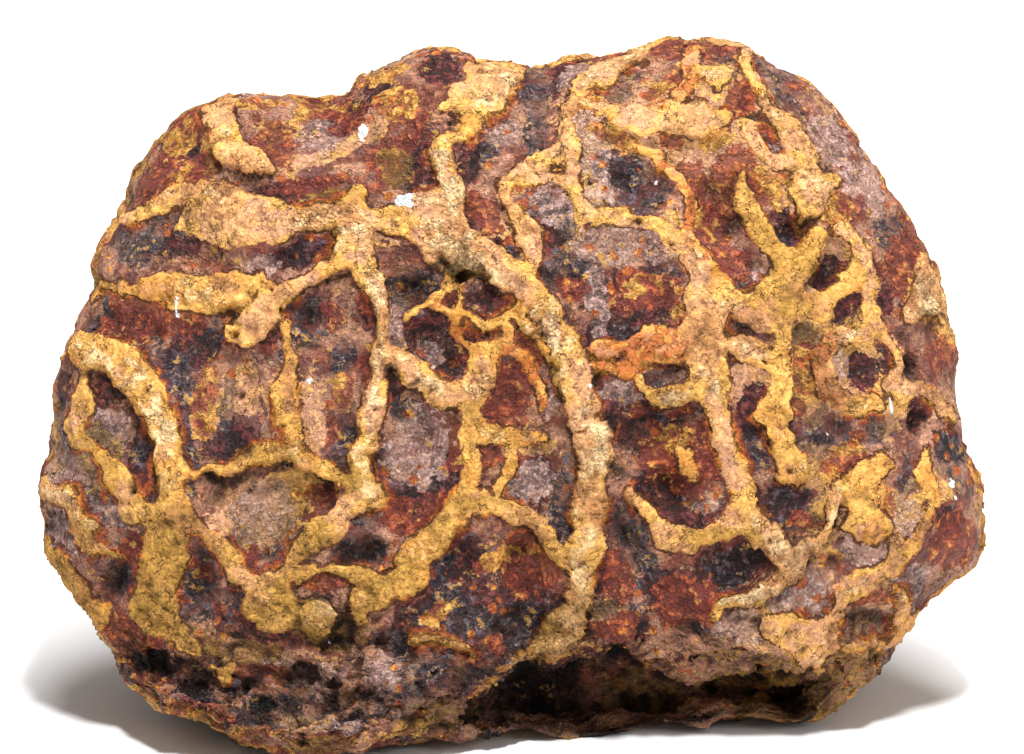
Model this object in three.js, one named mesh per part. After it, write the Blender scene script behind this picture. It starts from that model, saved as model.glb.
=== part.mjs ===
// Bauxite: one weathered stone about 180 mm across. A net of raised clay veins stands out of
// darker iron-rich cells on its broad face, its foot is layered, and its right side is undercut.
//
// The stone is laid out on its broad face: u runs across the face, v up it and t out of it.
// The face leans back, and the whole form is turned upright at the end.

import * as THREE from 'three';
import { mergeVertices } from 'three/addons/utils/BufferGeometryUtils.js';

const { clamp, smoothstep, degToRad, lerp } = THREE.MathUtils;

// Driving dimensions: millimetres and degrees
const facetSplits = 21; // cuts along each edge of the starting icosahedron
const frontCrowding = 0.62; // draws facets from the back to the broad face
const faceLean = 15;
const footDrop = 5.6; // the line v = 0 lies this far below the ground
const middle = { u: 0, v: 70 }; // the outline is measured round this point
const frontBulge = 28;
const backBulge = 66;
const frontRoundness = 2.6; // exponent of the section: 2 is an ellipse, more is squarer
const backRoundness = 2.3;
const flatness = 0.85; // share of what stands out of a flat of the back that is broken off
const veinRise = 2.1;
const veinCrown = 0.15; // roundness of a vein's top, as a share of its half width
const cellDepth = 1.3;
const faceSlope = 1; // how far the walls of the veins reach out at their foot
const backSlope = 3;
const backVeinHalf = 2.2;
const backVeinLift = 0.75;
const backSeeds = 150;
const backWander = { bend: 5, bendSize: 11, width: 1.3, widthSize: 14 }; // of the back's veins
const broadSwell = { height: 2.4, size: 18 };
const smallSwell = { height: 0.6, size: 9 };
const rimCalm = 0.35; // share of the relief that is left round the rim, which keeps the outline
const undercutDepth = 20;
const footLobe = 7;
const ledgeFade = 3; // length over which each end of a ledge dies out
const soleRelief = 2.4;
const soleSwellSize = 5;
const restPad = { x: 0, y: 6, radius: 15 }; // flat place that the stone rests on

// Outline of the face, clockwise from its left end: [u, v]
const outline = [
  [-90.3, 50], [-90, 54], [-88.4, 57], [-88, 65], [-88.3, 70], [-86.8, 74], [-84, 80.5], [-82.6, 84],
  [-79.2, 89.5], [-80.2, 93], [-78.6, 97], [-73.2, 106], [-72.8, 110], [-67.3, 117.5], [-63.7, 122],
  [-55, 126], [-42, 125.5], [-38, 124.8], [-31.5, 126.2], [-29, 129.6], [-20, 134.2], [-15.5, 135],
  [-10, 134.6], [-7, 132.4], [0, 131.8], [6.3, 131], [10, 132.5], [18, 133], [24, 134], [30, 136.4],
  [38, 136.5], [45.5, 135.5], [49.5, 132], [56, 129.3], [58.8, 127.2], [66.8, 116.6], [75, 103.5],
  [81.8, 91], [82.2, 85], [85.2, 75.5], [84.6, 71], [86.6, 59.5], [90.2, 50.5], [90.4, 40], [88.6, 36],
  [82.5, 31.3], [78, 26.8], [74, 20.8], [64, 10.2], [59, 6.5], [55, 5.1], [50, 6.5], [41, 6.8],
  [24, 3.7], [0, 4.3], [-14, 4.1], [-25, 2.2], [-41, -0.5], [-47, 1], [-58.5, 6.8], [-67, 9],
  [-71.8, 12.2], [-75.8, 20], [-81.6, 27.5], [-89, 38.5], [-89.6, 45],
];

// How far the rim of the face lies out of (+) or behind (-) its plane: [angle round the middle, t]
const rimPlaces = [
  [-180, 0], [-150, 6], [-128, 17], [-112, 22], [-98, 17], [-86, 8], [-70, 4], [-45, 3],
  [0, 0], [45, -7], [90, -12], [135, -7], [180, 0],
];

// Flats where the back has broken: [[u, v, t] that it faces, distance from the middle]
const backFlats = [
  [[0.35, 0.25, -0.9], 62], [[-0.55, 0.3, -0.78], 68], [[0.1, 0.75, -0.65], 67], [[0.75, -0.2, -0.63], 79],
  [[-0.3, -0.45, -0.84], 62], [[-0.8, -0.1, -0.6], 78.5], [[0.45, 0.62, -0.64], 73],
  [[-0.45, 0.7, -0.55], 74],
];

// Veins of the face: [lift, [u, v, half width], ...], lift 1 being a vein of the usual height
const veins = {
  shoulderFinger: [1.2, [-54, 125, 2], [-56, 121, 2.7], [-55.5, 117, 2.8], [-52.8, 114, 2.9],
    [-49.5, 112.3, 2.4], [-47.3, 111.8, 1.6]],
  leftBandTop: [0.4, [-76, 101.5, 0.8], [-69, 103, 1.6], [-66, 105.3, 2], [-62, 106, 1.5], [-58, 106, 1.8]],
  leftBand: [0.6, [-64.5, 99.3, 1], [-61, 101, 2.4], [-56, 102, 5.4], [-50, 101.3, 3.8],
    [-43.5, 100.7, 3.2], [-37, 101.2, 2.1], [-32.5, 101.5, 1.8], [-26, 101.8, 2.2], [-20, 101.5, 3],
    [-15, 100.5, 5.2]],
  bandHorn: [1, [-29, 106.8, 1.6], [-29.8, 103.5, 2.2]],
  topBlock: [0.7, [-12.3, 123, 1.2], [-8.5, 125, 3.4], [-4, 127.6, 4.6], [0, 129.3, 2.8]],
  topYellow: [1, [-6.5, 121.5, 2.2], [-8.8, 119.5, 1.9], [-10.5, 118, 1.1]],
  hookVein: [1, [-10.8, 118, 1.2], [-13.2, 116.3, 1.3], [-13.5, 113.5, 1.3], [-12, 110.5, 1.2],
    [-11, 107, 2.2], [-11.8, 103.5, 3.4]],
  seam: [1.35, [-15, 101.5, 5], [-12.5, 97.5, 5], [-8, 96, 3.6], [-4, 93.4, 3.4], [0.5, 90.6, 3],
    [4.4, 87.6, 2.7], [7.6, 83.8, 2.8], [9.4, 80, 2.5], [10.4, 75, 2.4], [11.4, 70, 2.7],
    [12.8, 66.8, 2.8], [12.8, 63, 2.1], [15, 59.5, 3.3], [16.2, 55, 3.4], [16, 50, 3.1], [15.5, 45, 2.8],
    [15.4, 41.5, 3.2], [13.6, 38, 3.6], [12.6, 34, 2.5], [13, 29.5, 2.7], [11.8, 26.4, 3],
    [9.4, 23.4, 3.2], [5.6, 21, 1.6]],
  lowThread: [0.4, [-18, 22.4, 0.3], [-14, 22, 0.5], [-10.4, 21, 0.5], [-7.4, 18.6, 0.4]],
  seamTop: [0.4, [13, 126.2, 1.4], [11, 123, 0.9], [10.6, 119.5, 1.4], [11.6, 116, 1.3], [11.2, 112, 1.4]],
  topRightBand: [0.6, [13.5, 126.8, 1.5], [17.5, 129.3, 2.4], [21.5, 131.6, 1.7], [26.3, 133.8, 1.2]],
  tanField: [0.5, [12.5, 123.4, 0.7], [20, 121, 1.6], [25, 120.6, 2.7], [31, 120.8, 3], [36, 120.8, 2.8],
    [40, 121, 1.8]],
  seamLeft: [0.6, [9.5, 115, 1.5], [6, 113, 1.8], [-0.3, 109, 1.2], [-0.5, 105.5, 1.2], [1.5, 101, 2],
    [3, 97, 1.9], [3.6, 93, 1.4]],
  slateRing: [0.3, [2.5, 108.6, 0.8], [6, 109.6, 1], [10, 108.8, 1.2], [11.6, 110.5, 1.2]],
  saddle: [0.4, [11, 108, 1.2], [15.2, 102.4, 1], [19, 103.3, 1.6], [25, 101, 1.4], [30, 97.5, 1.6],
    [33.5, 95, 1.4]],
  backRib: [0.5, [23.5, 115.8, 0.8], [27.3, 114.2, 1.1], [30.2, 110.8, 1.1], [32.8, 106.5, 1.1],
    [34.2, 101.5, 1.2], [34, 97, 1.4], [35.5, 93, 2]],
  rightTrunk: [0.9, [35, 93, 2.4], [36.4, 88.5, 3.4], [37, 84, 3.9], [37, 79.5, 3.4], [37.4, 74.5, 3.1],
    [38.2, 70, 3.2], [38.6, 65, 2.6], [39.8, 60, 2.2], [42, 55, 2.3], [42.8, 50.8, 2.6], [42.8, 47.5, 2.5]],
  trunkKnob: [0.6, [42.6, 77, 1.4], [45.4, 76, 2.6], [48, 74.4, 1.6]],
  cradle: [0.9, [43.2, 47.5, 2.3], [40, 44.2, 1.9], [33, 41.4, 2], [29.5, 42, 1.9], [25.6, 46.2, 1.1],
    [23, 50, 0.6]],
  strut: [0.8, [44.5, 46.5, 2.2], [47, 43, 2], [50, 40, 2.1], [53, 35.4, 1.7]],
  bow: [0.9, [61.4, 51.5, 0.6], [61, 46, 0.9], [58.6, 42, 1.2], [53.4, 36.4, 1.5], [50, 32.6, 1.4],
    [46, 30.6, 1.3], [42, 29.6, 1.2], [39.4, 28.2, 1], [38.5, 25.5, 0.6]],
  upperSill: [0.9, [16, 77.6, 1.4], [19, 78, 0.8], [23, 77.6, 1.7], [27, 78.2, 2], [34.5, 77.5, 2]],
  lowerSill: [0.8, [15.5, 74, 1.2], [22.5, 74, 1.2], [25, 75.4, 0.8], [33, 75.4, 0.9]],
  lensSill: [0.9, [24.6, 72, 0.6], [26, 70, 0.9], [28.5, 68.3, 1.9], [32.5, 68, 2.1], [36.5, 68.6, 2.2]],
  longDrop: [1.2, [49.5, 83.6, 1.7], [51.3, 80.5, 1.8], [51, 76, 1.6], [51.6, 72.5, 1.9], [50.9, 69, 2.6],
    [49.8, 66, 2.5], [50.8, 63, 1.6], [52, 57, 2.4], [52.4, 54.8, 3]],
  pinkArc: [0.8, [36.5, 91, 1], [39, 88, 1.1], [41.3, 85.4, 1.5], [44.2, 83, 1.6], [47, 81.8, 1.2],
    [49.6, 83.4, 1.6]],
  yellowArc: [0.7, [38.8, 92, 0.9], [41.4, 88.6, 0.9], [44.5, 86.3, 1], [47.5, 86, 1.4]],
  fingerOne: [1.6, [42.7, 108.3, 1.2], [44.5, 104.7, 1.5], [46.3, 100.6, 1.7], [48.8, 97, 2],
    [52, 94.5, 2.4]],
  fingerTwo: [1.6, [57.6, 98.4, 2], [56, 96, 2.1], [53.3, 93, 2.8], [51.5, 90, 2.8], [49, 87.5, 2.4],
    [49.6, 84.5, 1.9]],
  smile: [1.2, [52, 87, 2.6], [55, 85.2, 2.9], [58.3, 85.2, 2.7], [61, 87, 1.9], [65.3, 91.8, 1.3]],
  rightRib: [0.8, [62.5, 99.5, 2], [65, 97, 1.7], [66, 93, 1.5], [67.8, 85, 1.5], [68.2, 81.5, 1.7],
    [65.4, 80.2, 1.9], [60, 79, 1]],
  barLeft: [0.8, [60.3, 79, 1.5], [59, 75.5, 1.9], [59.2, 72, 2], [60, 69, 2], [61.8, 68, 1.4]],
  yellowBlock: [0.9, [64.2, 66, 1.8], [66.6, 66, 2.5], [69.4, 65.4, 1.8]],
  greyLip: [0.6, [69.6, 81.5, 0.9], [72, 78, 1], [73.6, 74, 1], [72.5, 70.5, 1.9], [74, 68.5, 2.2],
    [77.5, 70, 1], [80.5, 67.5, 1.2], [83.5, 63.2, 0.8]],
  rimGlow: [0.7, [78.8, 93.5, 1.4], [79.6, 89.5, 2.4], [79, 86, 2.8], [76, 84.2, 2]],
  topRightStrand: [0.5, [44.6, 135, 1.4], [43.6, 131.5, 1.5], [46, 127.5, 1.2], [47.6, 124, 1.2],
    [50.2, 121.3, 1.6], [53, 118, 2], [55.5, 115, 1.8], [57.2, 112, 1.6], [57.2, 108.5, 2.2],
    [56.6, 105.2, 2.7]],
  tanNose: [0.7, [54.4, 106.2, 1.5], [57.6, 105, 2.5], [60.2, 107.8, 1.8], [62, 110.2, 0.9]],
  innerStrand: [0.25, [46, 120, 1.2], [46.8, 116, 1.5], [49, 113, 1.3], [53, 112.5, 1.2]],
  topStep: [0.4, [33, 126.5, 1.5], [34, 130, 1.3], [35.5, 133.5, 1.2]],
  lowerBandLeft: [0.6, [-80.6, 86.5, 0.8], [-78.6, 88.8, 0.7], [-70, 89.2, 1.4], [-64.5, 87.4, 2.8],
    [-60, 87, 3.2], [-56, 88, 3.4], [-52.3, 88.6, 3.2], [-48.5, 90, 1.6], [-45.4, 88, 0.8]],
  log: [1.5, [-53.2, 79.6, 1.7], [-50.6, 80.2, 2.9], [-47.4, 83.2, 2.8], [-44.3, 86.4, 2],
    [-40.8, 88.4, 1.3], [-36.8, 89.6, 1.1], [-33.4, 91.4, 1.5], [-31.4, 94, 2], [-29.5, 97.5, 2.2]],
  spine: [1.2, [-29.5, 98.5, 2.1], [-28, 94.5, 2.2], [-26.6, 90.5, 2.2], [-25.1, 86, 1.6],
    [-24.6, 81.5, 1.6], [-25.4, 77, 1.8], [-26.7, 72.5, 1.6], [-27, 67, 2], [-27.3, 62, 2.4],
    [-27.4, 57, 2.1], [-26.8, 52.5, 2.3], [-27, 50, 3.2]],
  hookBasin: [1.2, [-24.5, 77.5, 1.4], [-22, 75.6, 2], [-19.3, 72.6, 2.4], [-16.4, 69.8, 2.2],
    [-13, 68.1, 1.8], [-9.5, 68, 2], [-7, 70.6, 2], [-6.2, 74, 1.8]],
  netLeft: [0.7, [-19.7, 82.8, 0.48], [-15.4, 86.8, 0.72], [-13.6, 88.6, 0.72], [-13, 92, 0.56]],
  netMiddle: [0.7, [-14.4, 86.4, 0.56], [-10.4, 82.2, 0.56], [-9.4, 79, 0.56], [-8, 76.6, 0.64],
    [-6.3, 75.5, 0.88]],
  netRight: [0.8, [-13.4, 88, 0.56], [-10.4, 87.8, 0.48], [-9.2, 83.6, 0.48], [-5, 80.4, 0.64],
    [-2.4, 82.2, 0.88], [0, 84, 1.04], [1.4, 86, 0.8]],
  netEdge: [0.9, [1.2, 83.6, 1.28], [3, 81, 1.2], [5.8, 77, 0.72], [6.6, 74.4, 0.56]],
  netBranch: [0.9, [-1.4, 80, 0.64], [-2, 77.4, 0.96], [-4.6, 76.8, 0.96], [-6.3, 75.4, 0.96]],
  netThread: [0.7, [-2, 77.4, 0.88], [0.4, 75.6, 0.64], [2.4, 72.8, 0.72], [4, 70.4, 0.72],
    [5.8, 65.4, 0.48]],
  netFoot: [0.9, [-4.2, 75.6, 1.2], [-7, 68.6, 1.7], [-7.2, 65.4, 1.9], [-5.4, 62.4, 2.1],
    [-1.8, 60.4, 1.9], [2.2, 60.2, 1.6], [6, 60.4, 1.2]],
  yellowPost: [0.3, [-0.2, 59.5, 1.5], [-0.8, 56.5, 1.3], [-1.6, 53.4, 1.3], [-3.6, 51, 1]],
  yellowPostLeft: [0.5, [-7.4, 60.6, 1.6], [-7.6, 55.5, 1.6], [-8.2, 51.6, 1.6], [-8.6, 48.5, 1.8]],
  leftArm: [1.2, [-82.2, 79, 2.2], [-80.8, 77.2, 3], [-77, 77, 3.6], [-73.6, 74.6, 3.6], [-71, 71.2, 3.4],
    [-68.6, 68, 3.3], [-66.4, 64, 2.8], [-65, 60, 2.5], [-64.2, 55.5, 2.3], [-64, 51, 2.5],
    [-63.8, 46.5, 2.9]],
  leftArmLow: [0.5, [-63.8, 46, 2.8], [-65, 42, 3.6], [-66, 37.5, 3.9], [-67, 33, 4], [-67.2, 29, 3.8],
    [-65.6, 25.6, 3.2], [-63.4, 22.6, 2.6], [-61.4, 20, 1.7]],
  bowlLeft: [0.7, [-62, 44.2, 2], [-58.6, 42.6, 1.3], [-56, 40, 1.2], [-53.4, 37.2, 1.5],
    [-51.8, 34.4, 1.8], [-49.6, 33, 1.5], [-47, 31.6, 1.8], [-44.6, 31, 1.9]],
  oreBlock: [0.7, [-47, 29, 2.8], [-43.4, 27.6, 2.8], [-46, 25.4, 2]],
  bowlRight: [0.7, [-45, 32.6, 1.3], [-42, 35.6, 1.4], [-39.2, 39, 1.8], [-36, 42.4, 2.4],
    [-32.4, 44.6, 2.5], [-29.8, 46.8, 2.2], [-26.4, 48.6, 2]],
  lowSweep: [0.8, [-12.6, 44.6, 1.6], [-8, 47.6, 2.3], [-3.6, 48, 1.8], [3.6, 44.8, 1.7],
    [6.4, 42.4, 1.8], [8, 39.6, 1.4], [10.2, 37.2, 1.6]],
  lowSlope: [0.8, [-9.6, 45, 2.2], [-13.4, 42.4, 2.6], [-17, 39, 3.3], [-18.6, 35.4, 3.4],
    [-21, 32.2, 2.6], [-25, 30.4, 2], [-28.6, 28.8, 2.2], [-29, 26.4, 1.8]],
  lowShelf: [0.6, [-40.6, 33.4, 1], [-36.6, 35.2, 1], [-32.4, 35.2, 1.2], [-25.6, 32.4, 1.6]],
  leftRing: [0.4, [-81.2, 71.4, 1.2], [-80.6, 68, 2.2], [-81.2, 64.6, 2], [-82.6, 61.8, 1.8],
    [-78.8, 57.2, 1.2], [-75.6, 55.4, 2.2], [-74, 52.6, 2.6], [-72.6, 50, 2], [-71.6, 47.8, 2.2],
    [-69.6, 46.2, 1.6]],
  leftKnob: [1.1, [-90, 50.4, 1.2], [-87.2, 50.4, 1.4], [-84.8, 49, 1.5], [-81.6, 44.4, 1.1],
    [-79.8, 43.2, 1.3]],
  leftKnobLow: [0.8, [-83, 42.4, 0.7], [-80.8, 40.4, 1.2], [-75.2, 37.6, 0.8]],
  rimStrip: [0.9, [-89.6, 42.6, 0.8], [-87.8, 39, 1.2], [-82.8, 31.4, 1.3], [-80, 28.2, 1.5],
    [-76.6, 26.2, 1.2]],
  innerPost: [0.4, [-42.4, 82.4, 0.7], [-41.8, 78.6, 0.8], [-41.6, 74.6, 1.5], [-42.4, 71, 2.3],
    [-41.4, 63, 2.3], [-40, 56.8, 1.6]],
  bowlBrow: [0.45, [-60, 53.6, 0.8], [-55.6, 54.8, 1.2], [-50, 55.8, 1.8], [-45, 57, 2.2],
    [-40.6, 56.8, 2], [-34.6, 53.4, 1.6], [-30.2, 50.8, 1.8]],
  cornerTan: [0.6, [48.4, 24.4, 1.8], [53.6, 23.4, 3.6], [57.8, 20.8, 3.9], [57, 17.8, 2.4]],
  lowRightBand: [0.7, [72.4, 41, 0.9], [74, 37.6, 1.5], [72.4, 34.8, 1.7], [69, 33.4, 1.7],
    [65.4, 32.8, 1.8], [62, 31.6, 1.1], [61.2, 27.5, 1.2], [59.5, 24.5, 1.6]],
  oreIsland: [0.3, [70, 56.2, 1.3], [67, 54, 2.2], [65, 51.2, 2.8], [66.8, 47, 2.2], [68.4, 43, 2]],
  rightStreak: [0.4, [79.6, 56.6, 0.8], [78.6, 53.4, 1.6], [78.8, 50, 1.8], [80.4, 47.6, 1.1],
    [77.8, 44.6, 0.9], [75, 37.8, 1.2]],
  rightFoot: [0.5, [73.8, 31.6, 0.7], [75, 28, 1.3], [74.6, 24.4, 1.2], [72.4, 21.6, 0.9], [64, 19.6, 0.7]],
  smallCone: [1, [31.8, 57.4, 0.9], [33.2, 54.8, 1.7], [34, 52.6, 0.9]],
  roundNodule: [1.2, [-36.8, 26, 3.2], [-36.2, 26.4, 3.2]],
  pebbles: [0.8, [36.6, 128.8, 1.5], [38.2, 128.2, 1.8]],
  lowPebble: [0.8, [64, 43.2, 1.5], [65.8, 42.6, 1.7]],
  yellowWedge: [0.9, [-57, 17.6, 0.7], [-54.6, 15.8, 1.4], [-53.4, 18.4, 0.9]],
};

// Hollows (+) and swells (-) of the face: [u, v, half length, half width, turn, depth]
const hollows = [
  [-46, 44, 11, 8, 35, 3.4], [-52, 59, 5, 5, 0, 1.3], [39, 104, 9, 7, 120, 3.6], [53, 99, 5, 3, 50, 2.2],
  [59.5, 91.5, 4.5, 3.2, 55, 2.4], [-19.5, 88, 5.5, 4.5, 0, 3], [-10.5, 90.5, 3, 3, 0, 3.5],
  [-13, 77, 8, 6, -30, 2], [27, 62, 9, 7, 0, 2.2], [29, 50, 7, 5, 0, 2.8], [43, 36.5, 9, 5, 15, 2],
  [20.5, 41, 8, 3.5, -55, 1.2], [3, 37, 8, 5, 90, 3], [-10, 37, 6, 4.5, 60, 2.5],
  [-28.5, 38.5, 7, 3.5, 0, 2.2], [-59, 32, 7, 4.5, 90, 2], [-75.5, 33, 6, 3, 80, 2.4],
  [3, 24, 7, 5, 0, 3], [-30, 22.5, 11, 4, 0, 1.4], [67.5, 25, 5.5, 4.5, 0, 2.5],
  [77.8, 63.5, 4, 2.6, 90, 2.8], [76.5, 74.5, 3.6, 1.8, 90, 3.5], [-39, 83, 3.6, 3.6, 0, 2.6],
  [-45, 118.5, 7, 6, 90, 1.8], [23.5, 108, 7, 5, -20, 1.8], [-17, 15, 9, 5, 25, -2.5],
  [19.5, 24.5, 5, 3.6, 0, -3.5], [65, 14, 6, 4, 20, -2.5], [-12, 62, 10, 8, 0, 1],
];

// Ledges of the face, where it drops below a line: [drop, reach below the line, [u, v], ...]
const ledges = [
  [2.4, 8, [-60, 53.6], [-54, 53.4], [-49, 53.8], [-43, 55.4], [-37, 53.4], [-32, 49.6]],
  [1.2, 5, [-72, 20], [-65, 18.4], [-59, 15.4], [-53, 13.4], [-47, 17.6], [-40, 18], [-33, 14.8],
    [-28, 12.5]],
  [2.4, 4, [-33, 11.5], [-27, 10], [-22, 9], [-14, 8.4]],
  [1.3, 5, [-40, 24], [-36, 22.6], [-31, 24], [-24, 23.4], [-17, 24]],
  [0.8, 6, [15, 119], [24, 116.6], [33, 116.6], [43, 117.6]],
  [2, 5, [-16, 96.4], [-9, 93.6], [-3, 90.6]],
];

// The two big steps of the foot, as lines across the face: [u, v]
const undercutLip = [
  [-20, 4], [-15, 6], [-12, 9], [-8, 12.5], [-2, 18.4], [9, 20.8], [20, 23], [28, 19], [37, 17.5],
  [47, 20], [55, 16.6], [61, 18.5], [73, 21.5],
];
const undercutEnds = { from: -20, full: -2, fade: 52, to: 64 };
const lobeTop = [[-78, 20], [-70, 15.5], [-63, 14.5], [-56, 11.5], [-47, 9], [-36, 10], [-24, 9], [-10, 5]];
const lobeEnds = { from: -78, full: -66, fade: -34, to: -12 };

const facetPitch = 2.6; // usual distance between the corners of the facets on the face
const crestPull = 0.8; // share by which the corners near a vein's crest are drawn to it

const stoneColour = 0xa2683f;
const stoneRoughness = 0.9;

// Helpers

function alongLine(points, at) {
  const last = points.length - 1;
  if (at <= points[0][0]) return points[0][1];
  if (at >= points[last][0]) return points[last][1];
  const next = points.findIndex((point) => point[0] > at);
  const [fromAt, fromValue] = points[next - 1];
  const [toAt, toValue] = points[next];
  return lerp(fromValue, toValue, (at - fromAt) / (toAt - fromAt));
}

function between(at, { from, full, fade, to }) {
  return smoothstep(at, from, full) * (1 - smoothstep(at, fade, to));
}

function swells(x, y, z, size) {
  let sum = 0;
  for (let wave = 1; wave <= 6; wave += 1) {
    const turn = wave * 2.39996;
    const climb = Math.cos(wave * 1.7);
    const flat = Math.sqrt(1 - climb * climb);
    const run = x * flat * Math.cos(turn) + y * flat * Math.sin(turn) + z * climb;
    sum += Math.sin((run * (1 + 0.23 * wave)) / size + wave * 1.3) / 6;
  }
  return sum;
}

// Outline as [angle, radius] round the middle, closed on both ends

const polarOutline = outline
  .map(([u, v]) => [Math.atan2(v - middle.v, u - middle.u), Math.hypot(u - middle.u, v - middle.v)])
  .sort((one, two) => one[0] - two[0]);
const firstPolar = polarOutline[0];
const lastPolar = polarOutline[polarOutline.length - 1];
polarOutline.unshift([lastPolar[0] - 2 * Math.PI, lastPolar[1]]);
polarOutline.push([firstPolar[0] + 2 * Math.PI, firstPolar[1]]);

// Plain form: the outline swept into a rounded body, with the flats of its back, the undercut
// and the lobe of its foot

const flats = backFlats.map(([facing, distance]) => {
  const normal = new THREE.Vector3(...facing).normalize();
  return { normal, reach: distance + normal.y * middle.v + normal.x * middle.u };
});

function breakFlats(point) {
  for (const { normal, reach } of flats) {
    const over = Math.max(0, point.dot(normal) - reach);
    point.addScaledVector(normal, -flatness * over);
  }
  return point;
}

function inUndercut(u, v) {
  return smoothstep(alongLine(undercutLip, u) - v, -1, 7) * between(u, undercutEnds);
}

function plainForm(direction) {
  const around = Math.atan2(direction.y, direction.x);
  const outward = Math.hypot(direction.x, direction.y);
  const front = direction.z > 0;
  const bulge = front ? frontBulge : backBulge;
  const roundness = front ? frontRoundness : backRoundness;
  const inward = Math.max(0, 1 - outward ** roundness);
  const radius = alongLine(polarOutline, around) * outward;
  const u = middle.u + radius * Math.cos(around);
  const v = middle.v + radius * Math.sin(around);
  const rim = alongLine(rimPlaces, THREE.MathUtils.radToDeg(around)) * outward ** roundness;
  const depth = Math.sign(direction.z) * bulge * inward ** (1 / roundness);
  const frontness = smoothstep(direction.z, -0.05, 0.12);
  const under = inUndercut(u, v) * (1 - smoothstep(outward, 0.92, 1));
  const lobe = smoothstep(alongLine(lobeTop, u) - v, -2.5, 4.5) * between(u, lobeEnds);
  const foot = frontness * (footLobe * lobe - undercutDepth * under);
  return breakFlats(new THREE.Vector3(u, v, rim + depth + foot));
}

// Face relief

const segments = Object.values(veins).flatMap(([lift, ...points]) =>
  points.slice(1).map(([u, v, half], index) => {
    const [fromU, fromV, fromHalf] = points[index];
    return { lift, fromU, fromV, fromHalf, du: u - fromU, dv: v - fromV, dHalf: half - fromHalf };
  }),
);

function nearestVein(u, v) {
  let nearest = { gap: Infinity };
  for (const { lift, fromU, fromV, fromHalf, du, dv, dHalf } of segments) {
    const along = clamp(((u - fromU) * du + (v - fromV) * dv) / (du * du + dv * dv), 0, 1);
    const crest = { u: fromU + along * du, v: fromV + along * dv };
    const half = fromHalf + along * dHalf;
    const offset = Math.hypot(u - crest.u, v - crest.v);
    if (offset - half < nearest.gap) nearest = { gap: offset - half, offset, half, lift, crest };
  }
  return nearest;
}

function veinHeight({ gap, half, lift }, slope) {
  const wall = 1 - smoothstep(gap, -0.4, slope);
  const inward = clamp(-gap / half, 0, 1);
  const crown = veinCrown * half * Math.sqrt(inward * (2 - inward));
  const rise = veinRise * Math.min(1, 0.35 + half / 3) * wall;
  return lift * (rise + crown) - cellDepth * smoothstep(gap, 0, 5);
}

function hollowDepth(u, v) {
  let depth = 0;
  for (const [atU, atV, halfLength, halfWidth, turn, deep] of hollows) {
    const cos = Math.cos(degToRad(turn));
    const sin = Math.sin(degToRad(turn));
    const along = ((u - atU) * cos + (v - atV) * sin) / halfLength;
    const across = ((v - atV) * cos - (u - atU) * sin) / halfWidth;
    depth += deep * (1 - smoothstep(Math.hypot(along, across), 0.25, 1.15));
  }
  return depth;
}

function ledgeDrop(u, v) {
  let drop = 0;
  for (const [deep, reach, ...line] of ledges) {
    const below = alongLine(line, u) - v;
    const [from, to] = [line[0][0], line.at(-1)[0]];
    const ends = between(u, { from, full: from + ledgeFade, fade: to - ledgeFade, to });
    drop += deep * ends * smoothstep(below, -0.6, 0.6) * (1 - smoothstep(below, 0.4 * reach, reach));
  }
  return drop;
}

// Net of veins on the sides and the back: ridges along the borders of cells round evenly spread seeds

const goldenTurn = Math.PI * (3 - Math.sqrt(5));
const seeds = Array.from({ length: backSeeds }, (_, index) => {
  const height = 1 - (2 * index + 1) / backSeeds;
  const flat = Math.sqrt(1 - height * height);
  const turn = index * goldenTurn + 0.9 * Math.sin(index * 12.9898);
  return plainForm(new THREE.Vector3(flat * Math.cos(turn), flat * Math.sin(turn), height));
});

function backHeight(point) {
  const { x, y, z } = point;
  const { bend, bendSize, width, widthSize } = backWander;
  const bent = new THREE.Vector3(
    swells(y, z, x, bendSize),
    swells(z, x, y, bendSize),
    swells(x, y, z, bendSize),
  );
  bent.multiplyScalar(bend).add(point);
  let [first, second] = [seeds[0], seeds[1]];
  let [near, far] = [Infinity, Infinity];
  for (const seed of seeds) {
    const away = bent.distanceTo(seed);
    if (away < near) {
      [second, far] = [first, near];
      [first, near] = [seed, away];
    } else if (away < far) {
      [second, far] = [seed, away];
    }
  }
  const toBorder = (far * far - near * near) / (2 * first.distanceTo(second));
  const half = backVeinHalf * Math.max(0.1, 1 + width * swells(z, y, x, widthSize));
  return veinHeight({ gap: toBorder - half, half, lift: backVeinLift }, backSlope);
}

// The stone

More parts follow.
